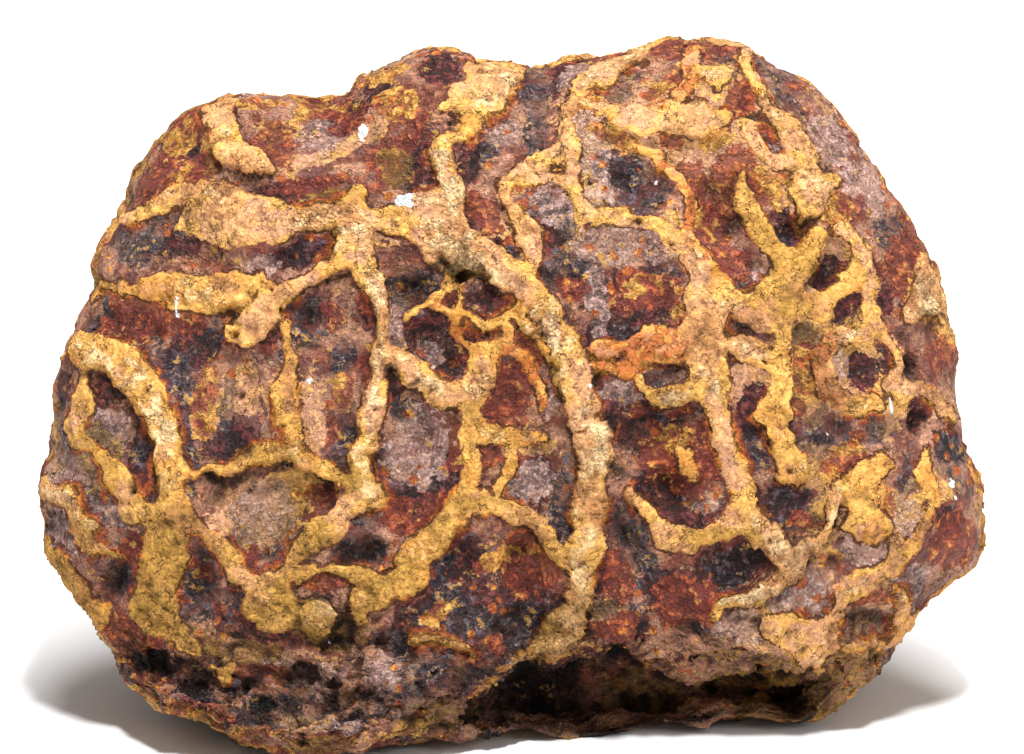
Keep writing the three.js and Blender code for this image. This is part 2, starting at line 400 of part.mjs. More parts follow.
function stoneGeometry() {
  const geometry = new THREE.IcosahedronGeometry(1, facetSplits);
  geometry.deleteAttribute('normal');
  geometry.deleteAttribute('uv');
  const stone = mergeVertices(geometry);
  const positions = stone.attributes.position;
  const point = new THREE.Vector3();

  for (let index = 0; index < positions.count; index += 1) {
    point.fromBufferAttribute(positions, index);
    point.z += frontCrowding;
    point.copy(plainForm(point.normalize()));
    positions.setXYZ(index, point.x, point.y, point.z);
  }
  stone.computeVertexNormals();

  const normals = stone.attributes.normal;
  const normal = new THREE.Vector3();
  for (let index = 0; index < positions.count; index += 1) {
    point.fromBufferAttribute(positions, index);
    normal.fromBufferAttribute(normals, index);
    const facing = smoothstep(normal.z, 0.05, 0.4);
    const vein = nearestVein(point.x, point.y);
    const nearness = 1 - smoothstep(vein.offset, 0.4 * facetPitch, facetPitch);
    const pull = crestPull * facing * nearness;
    point.x = lerp(point.x, vein.crest.u, pull);
    point.y = lerp(point.y, vein.crest.v, pull);
    const { x: u, y: v, z: t } = point;
    const face = veinHeight(nearestVein(u, v), faceSlope) - hollowDepth(u, v) - ledgeDrop(u, v);
    const back = backHeight(point) + broadSwell.height * swells(u, v, t, broadSwell.size);
    const height = lerp(back, face, facing) + smallSwell.height * swells(v, t, u, smallSwell.size);
    const calm = lerp(rimCalm, 1, smoothstep(Math.abs(normal.z), 0.1, 0.5));
    const sheltered = 1 - 0.7 * facing * inUndercut(u, v);
    point.addScaledVector(normal, height * calm * sheltered);
    positions.setXYZ(index, point.x, point.y, point.z);
  }
  stone.deleteAttribute('normal');
  return standUpright(stone);
}

function standUpright(stone) {
  stone.rotateX(degToRad(90 - faceLean));
  stone.translate(0, 0, -footDrop);
  stone.computeBoundingBox();
  const centre = stone.boundingBox.getCenter(new THREE.Vector3());
  stone.translate(-centre.x, -centre.y, 0);

  const positions = stone.attributes.position;
  for (let index = 0; index < positions.count; index += 1) {
    const x = positions.getX(index);
    const y = positions.getY(index);
    const offPad = smoothstep(Math.hypot(x - restPad.x, y - restPad.y), restPad.radius, 2 * restPad.radius);
    const sole = Math.max(0, soleRelief * offPad * (0.35 + 2 * swells(x, y, 0, soleSwellSize)));
    positions.setZ(index, Math.max(positions.getZ(index), sole));
  }
  return stone;
}

const finish = { color: stoneColour, roughness: stoneRoughness, metalness: 0 };
const stone = new THREE.Mesh(stoneGeometry(), new THREE.MeshStandardMaterial(finish));
stone.name = 'stone';

const bauxite = new THREE.Group();
bauxite.add(stone);

export default bauxite;
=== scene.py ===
import itertools
import math
from types import SimpleNamespace

import bpy
import numpy as np
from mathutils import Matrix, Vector


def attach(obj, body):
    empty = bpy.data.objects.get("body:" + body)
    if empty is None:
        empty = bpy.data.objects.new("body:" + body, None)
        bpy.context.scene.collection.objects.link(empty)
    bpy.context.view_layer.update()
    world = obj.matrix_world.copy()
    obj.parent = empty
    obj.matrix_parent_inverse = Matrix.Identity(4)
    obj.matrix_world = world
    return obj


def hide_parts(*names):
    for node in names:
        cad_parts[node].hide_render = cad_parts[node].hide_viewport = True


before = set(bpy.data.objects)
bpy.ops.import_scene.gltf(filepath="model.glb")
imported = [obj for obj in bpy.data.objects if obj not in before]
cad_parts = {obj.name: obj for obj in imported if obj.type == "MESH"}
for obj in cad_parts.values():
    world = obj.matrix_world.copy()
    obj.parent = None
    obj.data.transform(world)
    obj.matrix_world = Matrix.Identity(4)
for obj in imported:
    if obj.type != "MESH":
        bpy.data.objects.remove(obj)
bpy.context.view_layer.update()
print("frame loaded")

# The stone is worked out on its broad face, in millimetres: u across it, v up it, t out of it.
# The face leans back, and the whole form is stood upright at the end.
stoneForm = {
    "cellsAlongSide": 128,  # six square grids of this many cells, wrapped round the stone
    "frontCrowding": 0.62,  # draws cells from the back to the broad face
    "faceLean": 15,  # degrees
    "footDrop": 5.6,  # the line v = 0 lies this far below the ground
    "middle": (0, 70),
    "frontBulge": 28,  # how far the broad face stands forward of its rim
    "backBulge": 66,
    "frontRoundness": 2.6,  # 2 is an oval, more is fuller
    "backRoundness": 2.3,
    "flatness": 0.85,  # share of what stands out of a flat of the back that is broken off
    "veinRise": 1.15,  # height of a vein's wall where its lift is 1
    "veinCrown": 0.04,  # and of its crown, as a share of its half width
    "veinWeb": 1.8,  # how far from each other two veins start to flow together
    "veinInset": 0.2,  # the wall is at its full height this far inside the vein's edge
    "veinFoot": (0.3, 3, 11),  # least and most reach of the wall at its foot, and size of the change
    "cellDepth": 1.3,  # the middles of the cells lie this far down
    "cellSlope": 5,  # and it takes this far from a vein to get there
    "hollowBorder": (0.25, 1.15),  # where a hollow starts to rise and where it ends, 1 on its oval's line
    "ledgeBrink": 0.6,  # half of the width over which a ledge drops
    "ledgeFade": 3,  # length over which its ends fade
    "backVeinHalf": 2.2,
    "backVeinLift": 0.75,
    "backSeeds": 150,  # cells of the back's net
    "backWander": (6, 11, 2.6, 16),  # bend and its size, width and its size, of the back's veins
    "broadSwell": (2.4, 18),  # height, size
    "smallSwell": (0.6, 9),
    "rimCalm": 0.35,  # share of the relief that is left along the rim
    "undercutDepth": 20,
    "footLobe": 7,
    "soleRelief": (2.4, 5),  # height and size of the hollows of the sole, round its flat resting pad
    "restPad": (0, 6, 15),  # x, y, radius
}

# Edge of the broad face: [u, v], in order round it
outline = [
    [-90.3, 50], [-90, 54], [-88.4, 57], [-88, 65], [-88.3, 70], [-86.8, 74], [-84, 80.5], [-82.6, 84],
    [-79.2, 89.5], [-80.2, 93], [-78.6, 97], [-73.2, 106], [-72.8, 110], [-67.3, 117.5], [-63.7, 122],
    [-55, 126], [-42, 125.5], [-38, 124.8], [-31.5, 126.2], [-29, 129.6], [-20, 134.2], [-15.5, 135],
    [-10, 134.6], [-7, 132.4], [0, 131.8], [6.3, 131], [10, 132.5], [18, 133], [24, 134], [30, 136.4],
    [38, 136.5], [45.5, 135.5], [49.5, 132], [56, 129.3], [58.8, 127.2], [66.8, 116.6], [75, 103.5],
    [81.8, 91], [82.2, 85], [85.2, 75.5], [84.6, 71], [86.6, 59.5], [90.2, 50.5], [90.4, 40], [88.6, 36],
    [82.5, 31.3], [78, 26.8], [74, 20.8], [64, 10.2], [59, 6.5], [55, 5.1], [50, 6.5], [41, 6.8],
    [24, 3.7], [0, 4.3], [-14, 4.1], [-25, 2.2], [-41, -0.5], [-47, 1], [-58.5, 6.8], [-67, 9],
    [-71.8, 12.2], [-75.8, 20], [-81.6, 27.5], [-89, 38.5], [-89.6, 45],
]

# Flats where the back has broken: (u, v, t) that it faces, and distance from the middle
backFlats = [
    [(0.35, 0.25, -0.9), 62], [(-0.55, 0.3, -0.78), 68], [(0.1, 0.75, -0.65), 67],
    [(0.75, -0.2, -0.63), 79], [(-0.3, -0.45, -0.84), 62], [(-0.8, -0.1, -0.6), 78.5],
    [(0.45, 0.62, -0.64), 73], [(-0.45, 0.7, -0.55), 74],
]

# Clay veins of the broad face: how high each stands, then [u, v, half width] along it
veins = {
    "shoulderFinger": [1.2, [-54, 125, 2], [-56, 121, 2.7], [-55.5, 117, 2.8], [-52.8, 114, 2.9],
        [-49.5, 112.3, 2.4], [-47.3, 111.8, 1.6]],
    "leftBandTop": [0.4, [-76, 101.5, 0.8], [-69, 103, 1.6], [-66, 105.3, 2], [-62, 106, 1.5],
        [-58, 106, 1.8]],
    "leftBand": [0.6, [-64.5, 99.3, 1], [-61, 101, 2.4], [-56, 102, 5.4], [-50, 101.3, 3.8],
        [-43.5, 100.7, 3.2], [-37, 101.2, 2.1], [-32.5, 101.5, 1.8], [-26, 101.8, 2.2], [-20, 101.5, 3],
        [-15, 100.5, 5.2]],
    "bandHorn": [1, [-29, 106.8, 1.6], [-29.8, 103.5, 2.2]],
    "topBlock": [0.7, [-12.3, 123, 1.2], [-8.5, 125, 3.4], [-4, 127.6, 4.6], [0, 129.3, 2.8]],
    "topYellow": [1, [-6.5, 121.5, 2.2], [-8.8, 119.5, 1.9], [-10.5, 118, 1.1]],
    "hookVein": [1, [-10.8, 118, 1.2], [-13.2, 116.3, 1.3], [-13.5, 113.5, 1.3], [-12, 110.5, 1.2],
        [-11, 107, 2.2], [-11.8, 103.5, 3.4]],
    "seam": [1.35, [-15, 101.5, 5], [-12.5, 97.5, 5], [-8, 96, 3.6], [-4, 93.4, 3.4], [0.5, 90.6, 3],
        [4.4, 87.6, 2.7], [7.6, 83.8, 2.8], [9.4, 80, 2.5], [10.4, 75, 2.4], [11.4, 70, 2.7],
        [12.8, 66.8, 2.8], [12.8, 63, 2.1], [15, 59.5, 3.3], [16.2, 55, 3.4], [16, 50, 3.1],
        [15.5, 45, 2.8], [15.4, 41.5, 3.2], [13.6, 38, 3.6], [12.6, 34, 2.5], [13, 29.5, 2.7],
        [11.8, 26.4, 3], [9.4, 23.4, 3.2], [5.6, 21, 1.6]],
    "lowThread": [0.4, [-18, 22.4, 0.3], [-14, 22, 0.5], [-10.4, 21, 0.5], [-7.4, 18.6, 0.4]],
    "seamTop": [0.4, [13, 126.2, 1.4], [11, 123, 0.9], [10.6, 119.5, 1.4], [11.6, 116, 1.3],
        [11.2, 112, 1.4]],
    "topRightBand": [0.6, [13.5, 126.8, 1.5], [17.5, 129.3, 2.4], [21.5, 131.6, 1.7], [26.3, 133.8, 1.2]],
    "tanField": [0.5, [12.5, 123.4, 0.7], [20, 121, 1.6], [25, 120.6, 2.7], [31, 120.8, 3],
        [36, 120.8, 2.8], [40, 121, 1.8]],
    "seamLeft": [0.6, [9.5, 115, 1.5], [6, 113, 1.8], [-0.3, 109, 1.2], [-0.5, 105.5, 1.2], [1.5, 101, 2],
        [3, 97, 1.9], [3.6, 93, 1.4]],
    "slateRing": [0.3, [2.5, 108.6, 0.8], [6, 109.6, 1], [10, 108.8, 1.2], [11.6, 110.5, 1.2]],
    "saddle": [0.4, [11, 108, 1.2], [15.2, 102.4, 1], [19, 103.3, 1.6], [25, 101, 1.4], [30, 97.5, 1.6],
        [33.5, 95, 1.4]],
    "backRib": [0.5, [23.5, 115.8, 0.8], [27.3, 114.2, 1.1], [30.2, 110.8, 1.1], [32.8, 106.5, 1.1],
        [34.2, 101.5, 1.2], [34, 97, 1.4], [35.5, 93, 2]],
    "rightTrunk": [0.9, [35, 93, 2.4], [36.4, 88.5, 3.4], [37, 84, 3.9], [37, 79.5, 3.4],
        [37.4, 74.5, 3.1], [38.2, 70, 3.2], [38.6, 65, 2.6], [39.8, 60, 2.2], [42, 55, 2.3],
        [42.8, 50.8, 2.6], [42.8, 47.5, 2.5]],
    "trunkKnob": [0.6, [42.6, 77, 1.4], [45.4, 76, 2.6], [48, 74.4, 1.6]],
    "cradle": [0.9, [43.2, 47.5, 2.3], [40, 44.2, 1.9], [33, 41.4, 2], [29.5, 42, 1.9], [25.6, 46.2, 1.1],
        [23, 50, 0.6]],
    "strut": [0.8, [44.5, 46.5, 2.2], [47, 43, 2], [50, 40, 2.1], [53, 35.4, 1.7]],
    "bow": [0.9, [61.4, 51.5, 0.6], [61, 46, 0.9], [58.6, 42, 1.2], [53.4, 36.4, 1.5], [50, 32.6, 1.4],
        [46, 30.6, 1.3], [42, 29.6, 1.2], [39.4, 28.2, 1], [38.5, 25.5, 0.6]],
    "upperSill": [0.9, [16, 77.6, 1.4], [19, 78, 0.8], [23, 77.6, 1.7], [27, 78.2, 2], [34.5, 77.5, 2]],
    "lowerSill": [0.8, [15.5, 74, 1.2], [22.5, 74, 1.2], [25, 75.4, 0.8], [33, 75.4, 0.9]],
    "lensSill": [0.9, [24.6, 72, 0.6], [26, 70, 0.9], [28.5, 68.3, 1.9], [32.5, 68, 2.1],
        [36.5, 68.6, 2.2]],
    "longDrop": [1.2, [49.5, 83.6, 1.7], [51.3, 80.5, 1.8], [51, 76, 1.6], [51.6, 72.5, 1.9],
        [50.9, 69, 2.6], [49.8, 66, 2.5], [50.8, 63, 1.6], [52, 57, 2.4], [52.4, 54.8, 3]],
    "pinkArc": [0.8, [36.5, 91, 1], [39, 88, 1.1], [41.3, 85.4, 1.5], [44.2, 83, 1.6], [47, 81.8, 1.2],
        [49.6, 83.4, 1.6]],
    "yellowArc": [0.7, [38.8, 92, 0.9], [41.4, 88.6, 0.9], [44.5, 86.3, 1], [47.5, 86, 1.4]],
    "fingerOne": [1.6, [42.7, 108.3, 1.2], [44.5, 104.7, 1.5], [46.3, 100.6, 1.7], [48.8, 97, 2],
        [52, 94.5, 2.4]],
    "fingerTwo": [1.6, [57.6, 98.4, 2], [56, 96, 2.1], [53.3, 93, 2.8], [51.5, 90, 2.8], [49, 87.5, 2.4],
        [49.6, 84.5, 1.9]],
    "smile": [1.2, [52, 87, 2.6], [55, 85.2, 2.9], [58.3, 85.2, 2.7], [61, 87, 1.9], [65.3, 91.8, 1.3]],
    "rightRib": [0.8, [62.5, 99.5, 2], [65, 97, 1.7], [66, 93, 1.5], [67.8, 85, 1.5], [68.2, 81.5, 1.7],
        [65.4, 80.2, 1.9], [60, 79, 1]],
    "barLeft": [0.8, [60.3, 79, 1.5], [59, 75.5, 1.9], [59.2, 72, 2], [60, 69, 2], [61.8, 68, 1.4]],
    "yellowBlock": [0.9, [64.2, 66, 1.8], [66.6, 66, 2.5], [69.4, 65.4, 1.8]],
    "greyLip": [0.6, [69.6, 81.5, 0.9], [72, 78, 1], [73.6, 74, 1], [72.5, 70.5, 1.9], [74, 68.5, 2.2],
        [77.5, 70, 1], [80.5, 67.5, 1.2], [83.5, 63.2, 0.8]],
    "rimGlow": [0.7, [78.8, 93.5, 1.4], [79.6, 89.5, 2.4], [79, 86, 2.8], [76, 84.2, 2]],
    "topRightStrand": [0.5, [44.6, 135, 1.4], [43.6, 131.5, 1.5], [46, 127.5, 1.2], [47.6, 124, 1.2],
        [50.2, 121.3, 1.6], [53, 118, 2], [55.5, 115, 1.8], [57.2, 112, 1.6], [57.2, 108.5, 2.2],
        [56.6, 105.2, 2.7]],
    "tanNose": [0.7, [54.4, 106.2, 1.5], [57.6, 105, 2.5], [60.2, 107.8, 1.8], [62, 110.2, 0.9]],
    "innerStrand": [0.25, [46, 120, 1.2], [46.8, 116, 1.5], [49, 113, 1.3], [53, 112.5, 1.2]],
    "topStep": [0.4, [33, 126.5, 1.5], [34, 130, 1.3], [35.5, 133.5, 1.2]],
    "lowerBandLeft": [0.6, [-80.6, 86.5, 0.8], [-78.6, 88.8, 0.7], [-70, 89.2, 1.4], [-64.5, 87.4, 2.8],
        [-60, 87, 3.2], [-56, 88, 3.4], [-52.3, 88.6, 3.2], [-48.5, 90, 1.6], [-45.4, 88, 0.8]],
    "log": [1.5, [-53.2, 79.6, 1.7], [-50.6, 80.2, 2.9], [-47.4, 83.2, 2.8], [-44.3, 86.4, 2],
        [-40.8, 88.4, 1.3], [-36.8, 89.6, 1.1], [-33.4, 91.4, 1.5], [-31.4, 94, 2], [-29.5, 97.5, 2.2]],
    "spine": [1.2, [-29.5, 98.5, 2.1], [-28, 94.5, 2.2], [-26.6, 90.5, 2.2], [-25.1, 86, 1.6],
        [-24.6, 81.5, 1.6], [-25.4, 77, 1.8], [-26.7, 72.5, 1.6], [-27, 67, 2], [-27.3, 62, 2.4],
        [-27.4, 57, 2.1], [-26.8, 52.5, 2.3], [-27, 50, 3.2]],
    "hookBasin": [1.2, [-24.5, 77.5, 1.4], [-22, 75.6, 2], [-19.3, 72.6, 2.4], [-16.4, 69.8, 2.2],
        [-13, 68.1, 1.8], [-9.5, 68, 2], [-7, 70.6, 2], [-6.2, 74, 1.8]],
    "netLeft": [0.7, [-19.7, 82.8, 0.48], [-15.4, 86.8, 0.72], [-13.6, 88.6, 0.72], [-13, 92, 0.56]],
    "netMiddle": [0.7, [-14.4, 86.4, 0.56], [-10.4, 82.2, 0.56], [-9.4, 79, 0.56], [-8, 76.6, 0.64],
        [-6.3, 75.5, 0.88]],
    "netRight": [0.8, [-13.4, 88, 0.56], [-10.4, 87.8, 0.48], [-9.2, 83.6, 0.48], [-5, 80.4, 0.64],
        [-2.4, 82.2, 0.88], [0, 84, 1.04], [1.4, 86, 0.8]],
    "netEdge": [0.9, [1.2, 83.6, 1.28], [3, 81, 1.2], [5.8, 77, 0.72], [6.6, 74.4, 0.56]],
    "netBranch": [0.9, [-1.4, 80, 0.64], [-2, 77.4, 0.96], [-4.6, 76.8, 0.96], [-6.3, 75.4, 0.96]],
    "netThread": [0.7, [-2, 77.4, 0.88], [0.4, 75.6, 0.64], [2.4, 72.8, 0.72], [4, 70.4, 0.72],
        [5.8, 65.4, 0.48]],
    "netFoot": [0.9, [-4.2, 75.6, 1.2], [-7, 68.6, 1.7], [-7.2, 65.4, 1.9], [-5.4, 62.4, 2.1],
        [-1.8, 60.4, 1.9], [2.2, 60.2, 1.6], [6, 60.4, 1.2]],
    "yellowPost": [0.3, [-0.2, 59.5, 1.5], [-0.8, 56.5, 1.3], [-1.6, 53.4, 1.3], [-3.6, 51, 1]],
    "yellowPostLeft": [0.5, [-7.4, 60.6, 1.6], [-7.6, 55.5, 1.6], [-8.2, 51.6, 1.6], [-8.6, 48.5, 1.8]],
    "leftArm": [1.2, [-82.2, 79, 2.2], [-80.8, 77.2, 3], [-77, 77, 3.6], [-73.6, 74.6, 3.6],
        [-71, 71.2, 3.4], [-68.6, 68, 3.3], [-66.4, 64, 2.8], [-65, 60, 2.5], [-64.2, 55.5, 2.3],
        [-64, 51, 2.5], [-63.8, 46.5, 2.9]],
    "leftArmLow": [0.5, [-63.8, 46, 2.8], [-65, 42, 3.6], [-66, 37.5, 3.9], [-67, 33, 4], [-67.2, 29, 3.8],
        [-65.6, 25.6, 3.2], [-63.4, 22.6, 2.6], [-61.4, 20, 1.7]],
    "bowlLeft": [0.7, [-62, 44.2, 2], [-58.6, 42.6, 1.3], [-56, 40, 1.2], [-53.4, 37.2, 1.5],
        [-51.8, 34.4, 1.8], [-49.6, 33, 1.5], [-47, 31.6, 1.8], [-44.6, 31, 1.9]],
    "oreBlock": [0.7, [-47, 29, 2.8], [-43.4, 27.6, 2.8], [-46, 25.4, 2]],
    "bowlRight": [0.7, [-45, 32.6, 1.3], [-42, 35.6, 1.4], [-39.2, 39, 1.8], [-36, 42.4, 2.4],
        [-32.4, 44.6, 2.5], [-29.8, 46.8, 2.2], [-26.4, 48.6, 2]],
    "lowSweep": [0.8, [-12.6, 44.6, 1.6], [-8, 47.6, 2.3], [-3.6, 48, 1.8], [3.6, 44.8, 1.7],
        [6.4, 42.4, 1.8], [8, 39.6, 1.4], [10.2, 37.2, 1.6]],
    "lowSlope": [0.8, [-9.6, 45, 2.2], [-13.4, 42.4, 2.6], [-17, 39, 3.3], [-18.6, 35.4, 3.4],
        [-21, 32.2, 2.6], [-25, 30.4, 2], [-28.6, 28.8, 2.2], [-29, 26.4, 1.8]],
    "lowShelf": [0.6, [-40.6, 33.4, 1], [-36.6, 35.2, 1], [-32.4, 35.2, 1.2], [-25.6, 32.4, 1.6]],
    "leftRing": [0.4, [-81.2, 71.4, 1.2], [-80.6, 68, 2.2], [-81.2, 64.6, 2], [-82.6, 61.8, 1.8],
        [-78.8, 57.2, 1.2], [-75.6, 55.4, 2.2], [-74, 52.6, 2.6], [-72.6, 50, 2], [-71.6, 47.8, 2.2],
        [-69.6, 46.2, 1.6]],
    "leftKnob": [1.1, [-90, 50.4, 1.2], [-87.2, 50.4, 1.4], [-84.8, 49, 1.5], [-81.6, 44.4, 1.1],
        [-79.8, 43.2, 1.3]],
    "leftKnobLow": [0.8, [-83, 42.4, 0.7], [-80.8, 40.4, 1.2], [-75.2, 37.6, 0.8]],
    "rimStrip": [0.9, [-89.6, 42.6, 0.8], [-87.8, 39, 1.2], [-82.8, 31.4, 1.3], [-80, 28.2, 1.5],
        [-76.6, 26.2, 1.2]],
    "innerPost": [0.4, [-42.4, 82.4, 0.7], [-41.8, 78.6, 0.8], [-41.6, 74.6, 1.5], [-42.4, 71, 2.3],
        [-41.4, 63, 2.3], [-40, 56.8, 1.6]],
    "bowlBrow": [0.45, [-60, 53.6, 0.8], [-55.6, 54.8, 1.2], [-50, 55.8, 1.8], [-45, 57, 2.2],
        [-40.6, 56.8, 2], [-34.6, 53.4, 1.6], [-30.2, 50.8, 1.8]],
    "cornerTan": [0.6, [48.4, 24.4, 1.8], [53.6, 23.4, 3.6], [57.8, 20.8, 3.9], [57, 17.8, 2.4]],
    "lowRightBand": [0.7, [72.4, 41, 0.9], [74, 37.6, 1.5], [72.4, 34.8, 1.7], [69, 33.4, 1.7],
        [65.4, 32.8, 1.8], [62, 31.6, 1.1], [61.2, 27.5, 1.2], [59.5, 24.5, 1.6]],
    "oreIsland": [0.3, [70, 56.2, 1.3], [67, 54, 2.2], [65, 51.2, 2.8], [66.8, 47, 2.2], [68.4, 43, 2]],
    "rightStreak": [0.4, [79.6, 56.6, 0.8], [78.6, 53.4, 1.6], [78.8, 50, 1.8], [80.4, 47.6, 1.1],
        [77.8, 44.6, 0.9], [75, 37.8, 1.2]],
    "rightFoot": [0.5, [73.8, 31.6, 0.7], [75, 28, 1.3], [74.6, 24.4, 1.2], [72.4, 21.6, 0.9],
        [64, 19.6, 0.7]],
    "smallCone": [1, [31.8, 57.4, 0.9], [33.2, 54.8, 1.7], [34, 52.6, 0.9]],
    "roundNodule": [1.2, [-36.8, 26, 3.2], [-36.2, 26.4, 3.2]],
    "pebbles": [0.8, [36.6, 128.8, 1.5], [38.2, 128.2, 1.8]],
    "lowPebble": [0.8, [64, 43.2, 1.5], [65.8, 42.6, 1.7]],
    "yellowWedge": [0.9, [-57, 17.6, 0.7], [-54.6, 15.8, 1.4], [-53.4, 18.4, 0.9]],
}

# How far forward the rim runs: [degrees round the face from its right, t]
rimPlaces = [
    [-180, 0], [-150, 6], [-128, 17], [-112, 22], [-98, 17], [-86, 8], [-70, 4], [-45, 3],
    [0, 0], [45, -7], [90, -12], [135, -7], [180, 0],
]

# Bowls broken out of the face: [u, v, half length, half width, turn, depth]; less than 0 is a swell
hollows = [
    [-46, 44, 11, 8, 35, 3.4], [-52, 59, 5, 5, 0, 1.3], [39, 104, 9, 7, 120, 3.6], [53, 99, 5, 3, 50, 2.2],
    [59.5, 91.5, 4.5, 3.2, 55, 2.4], [-19.5, 88, 5.5, 4.5, 0, 3], [-10.5, 90.5, 3, 3, 0, 3.5],
    [-13, 77, 8, 6, -30, 2], [27, 62, 9, 7, 0, 2.2], [29, 50, 7, 5, 0, 2.8], [43, 36.5, 9, 5, 15, 2],
    [20.5, 41, 8, 3.5, -55, 1.2], [3, 37, 8, 5, 90, 3], [-10, 37, 6, 4.5, 60, 2.5],
    [-28.5, 38.5, 7, 3.5, 0, 2.2], [-59, 32, 7, 4.5, 90, 2], [-75.5, 33, 6, 3, 80, 2.4],
    [3, 24, 7, 5, 0, 3], [-30, 22.5, 11, 4, 0, 1.4], [67.5, 25, 5.5, 4.5, 0, 2.5],
    [77.8, 63.5, 4, 2.6, 90, 2.8], [76.5, 74.5, 3.6, 1.8, 90, 3.5], [-39, 83, 3.6, 3.6, 0, 2.6],
    [-45, 118.5, 7, 6, 90, 1.8], [23.5, 108, 7, 5, -20, 1.8], [-17, 15, 9, 5, 25, -2.5],
    [19.5, 24.5, 5, 3.6, 0, -3.5], [65, 14, 6, 4, 20, -2.5], [-12, 62, 10, 8, 0, 1],
]

# Steps down from a line: [depth, how far below the line it runs out, points of the line]
ledges = [
    [2.4, 8, [-60, 53.6], [-54, 53.4], [-49, 53.8], [-43, 55.4], [-37, 53.4], [-32, 49.6]],
    [1.2, 5, [-72, 20], [-65, 18.4], [-59, 15.4], [-53, 13.4], [-47, 17.6], [-40, 18], [-33, 14.8],
        [-28, 12.5]],
    [2.4, 4, [-33, 11.5], [-27, 10], [-22, 9], [-14, 8.4]],
    [1.3, 5, [-40, 24], [-36, 22.6], [-31, 24], [-24, 23.4], [-17, 24]],
    [0.8, 6, [15, 119], [24, 116.6], [33, 116.6], [43, 117.6]],
    [2, 5, [-16, 96.4], [-9, 93.6], [-3, 90.6]],
]

# The foot: the lip over its undercut, then the top of its lobe
undercutLip = [
    [-20, 4], [-15, 6], [-12, 9], [-8, 12.5], [-2, 18.4], [9, 20.8], [20, 23], [28, 19], [37, 17.5],
    [47, 20], [55, 16.6], [61, 18.5], [73, 21.5],
]

lobeTop = [[-78, 20], [-70, 15.5], [-63, 14.5], [-56, 11.5], [-47, 9], [-36, 10], [-24, 9], [-10, 5]]

undercutRise = 6.5  # how far below its lip it is full
undercutEnds = (-20, -2, 52, 64)  # it begins, is full, fades, ends
undercutRim = (0.92, 1)  # it fades out towards the rim, which is 1
lobeRise = (-2.5, 4.5)  # how far below its top it begins and is full
lobeEnds = (-78, -66, -34, -12)
footFront = (-0.05, 0.12)  # both begin a little behind the rim: 0 is the rim and 1 the middle of the face


# Numbers over many points at once

def blend(low, high, share):
    return low + (high - low) * share


def smoothStep(value, low, high):
    share = np.clip((value - low) / (high - low), 0, 1)
    return share * share * (3 - 2 * share)


def alongLine(points, at):
    return np.interp(at, [point[0] for point in points], [point[1] for point in points])


def betweenEnds(at, ends):
    return smoothStep(at, ends[0], ends[1]) * (1 - smoothStep(at, ends[2], ends[3]))


def swells(x, y, z, size):  # six slow waves across one another, from -1 to 1
    total = 0
    for wave in range(1, 7):
        turn = wave * 2.39996  # radians, about the golden angle
        climb = math.cos(wave * 1.7)
        flat = math.sqrt(1 - climb * climb)
        run = x * flat * math.cos(turn) + y * flat * math.sin(turn) + z * climb
        total = total + np.sin(run * (1 + 0.23 * wave) / size + wave * 1.3) / 6
    return total


def cellNumber(cell, seed):  # a large whole number for each cell, with no pattern to it
    x, y, z = cell.T
    mixed = x * 73856093 ^ y * 19349663 ^ z * 83492791 ^ seed * 2654435
    return (mixed ^ (mixed >> 13)) * 1274126177 & 0xFFFFFFFF


def patchy(points, size, seed):  # smooth random field from -1 to 1, with blobs of about the given size
    scaled = points / size
    cell = np.floor(scaled).astype(np.int64)
    share = scaled - cell
    share = share * share * (3 - 2 * share)
    total = np.zeros(len(points))
    for corner in itertools.product((0, 1), repeat=3):
        number = cellNumber(cell + corner, seed)
        value = (number ^ (number >> 16)) % 65536 / 32768 - 1
        weight = np.prod(np.where(corner, share, 1 - share), axis=1)
        total += weight * value
    return total


def roughness(points, size, seed, octaves=3):
    total, strength = 0, 1
    for octave in range(octaves):
        total = total + strength * patchy(points, size / 2 ** octave, seed + octave)
        strength *= 0.55
    return total


def scallops(points, size, seed):  # bowls side by side, 0 in their middles and 1 on their crests
    scaled = points / size
    cell = np.floor(scaled).astype(np.int64)
    nearest = np.full(len(points), 9.0)
    for corner in itertools.product((-1, 0, 1), repeat=3):
        place = cell + corner
        number = cellNumber(place, seed)
        jitter = np.stack([(number >> shift) % 1024 / 1024 for shift in (3, 11, 19)], axis=1)
        nearest = np.minimum(nearest, np.sum((scaled - place - jitter) ** 2, axis=1))
    return np.minimum(1, nearest / 0.8)


# The plain form

def polarOutline():
    u0, v0 = stoneForm["middle"]
    polar = sorted((math.atan2(v - v0, u - u0), math.hypot(u - u0, v - v0)) for u, v in outline)
    first, last = polar[0], polar[-1]
    return [(last[0] - 2 * math.pi, last[1])] + polar + [(first[0] + 2 * math.pi, first[1])]


def breakFlats(points):
    for facing, distance in backFlats:
        normal = np.array(facing) / np.linalg.norm(facing)
        over = (points - (*stoneForm["middle"], 0)) @ normal - distance
        points = points - stoneForm["flatness"] * np.maximum(0, over)[:, None] * normal
    return points


def inUndercut(u, v):
    jagged = np.sin(u / 1.9) * np.sin(u / 5.3 + 1) + 0.3 * np.sin(u / 0.9 + 2 * np.sin(u / 4))
    below = np.clip((alongLine(undercutLip, u) + jagged - v) / undercutRise, 0, 1)
    return (1 - (1 - below) ** 2) * betweenEnds(u, undercutEnds)


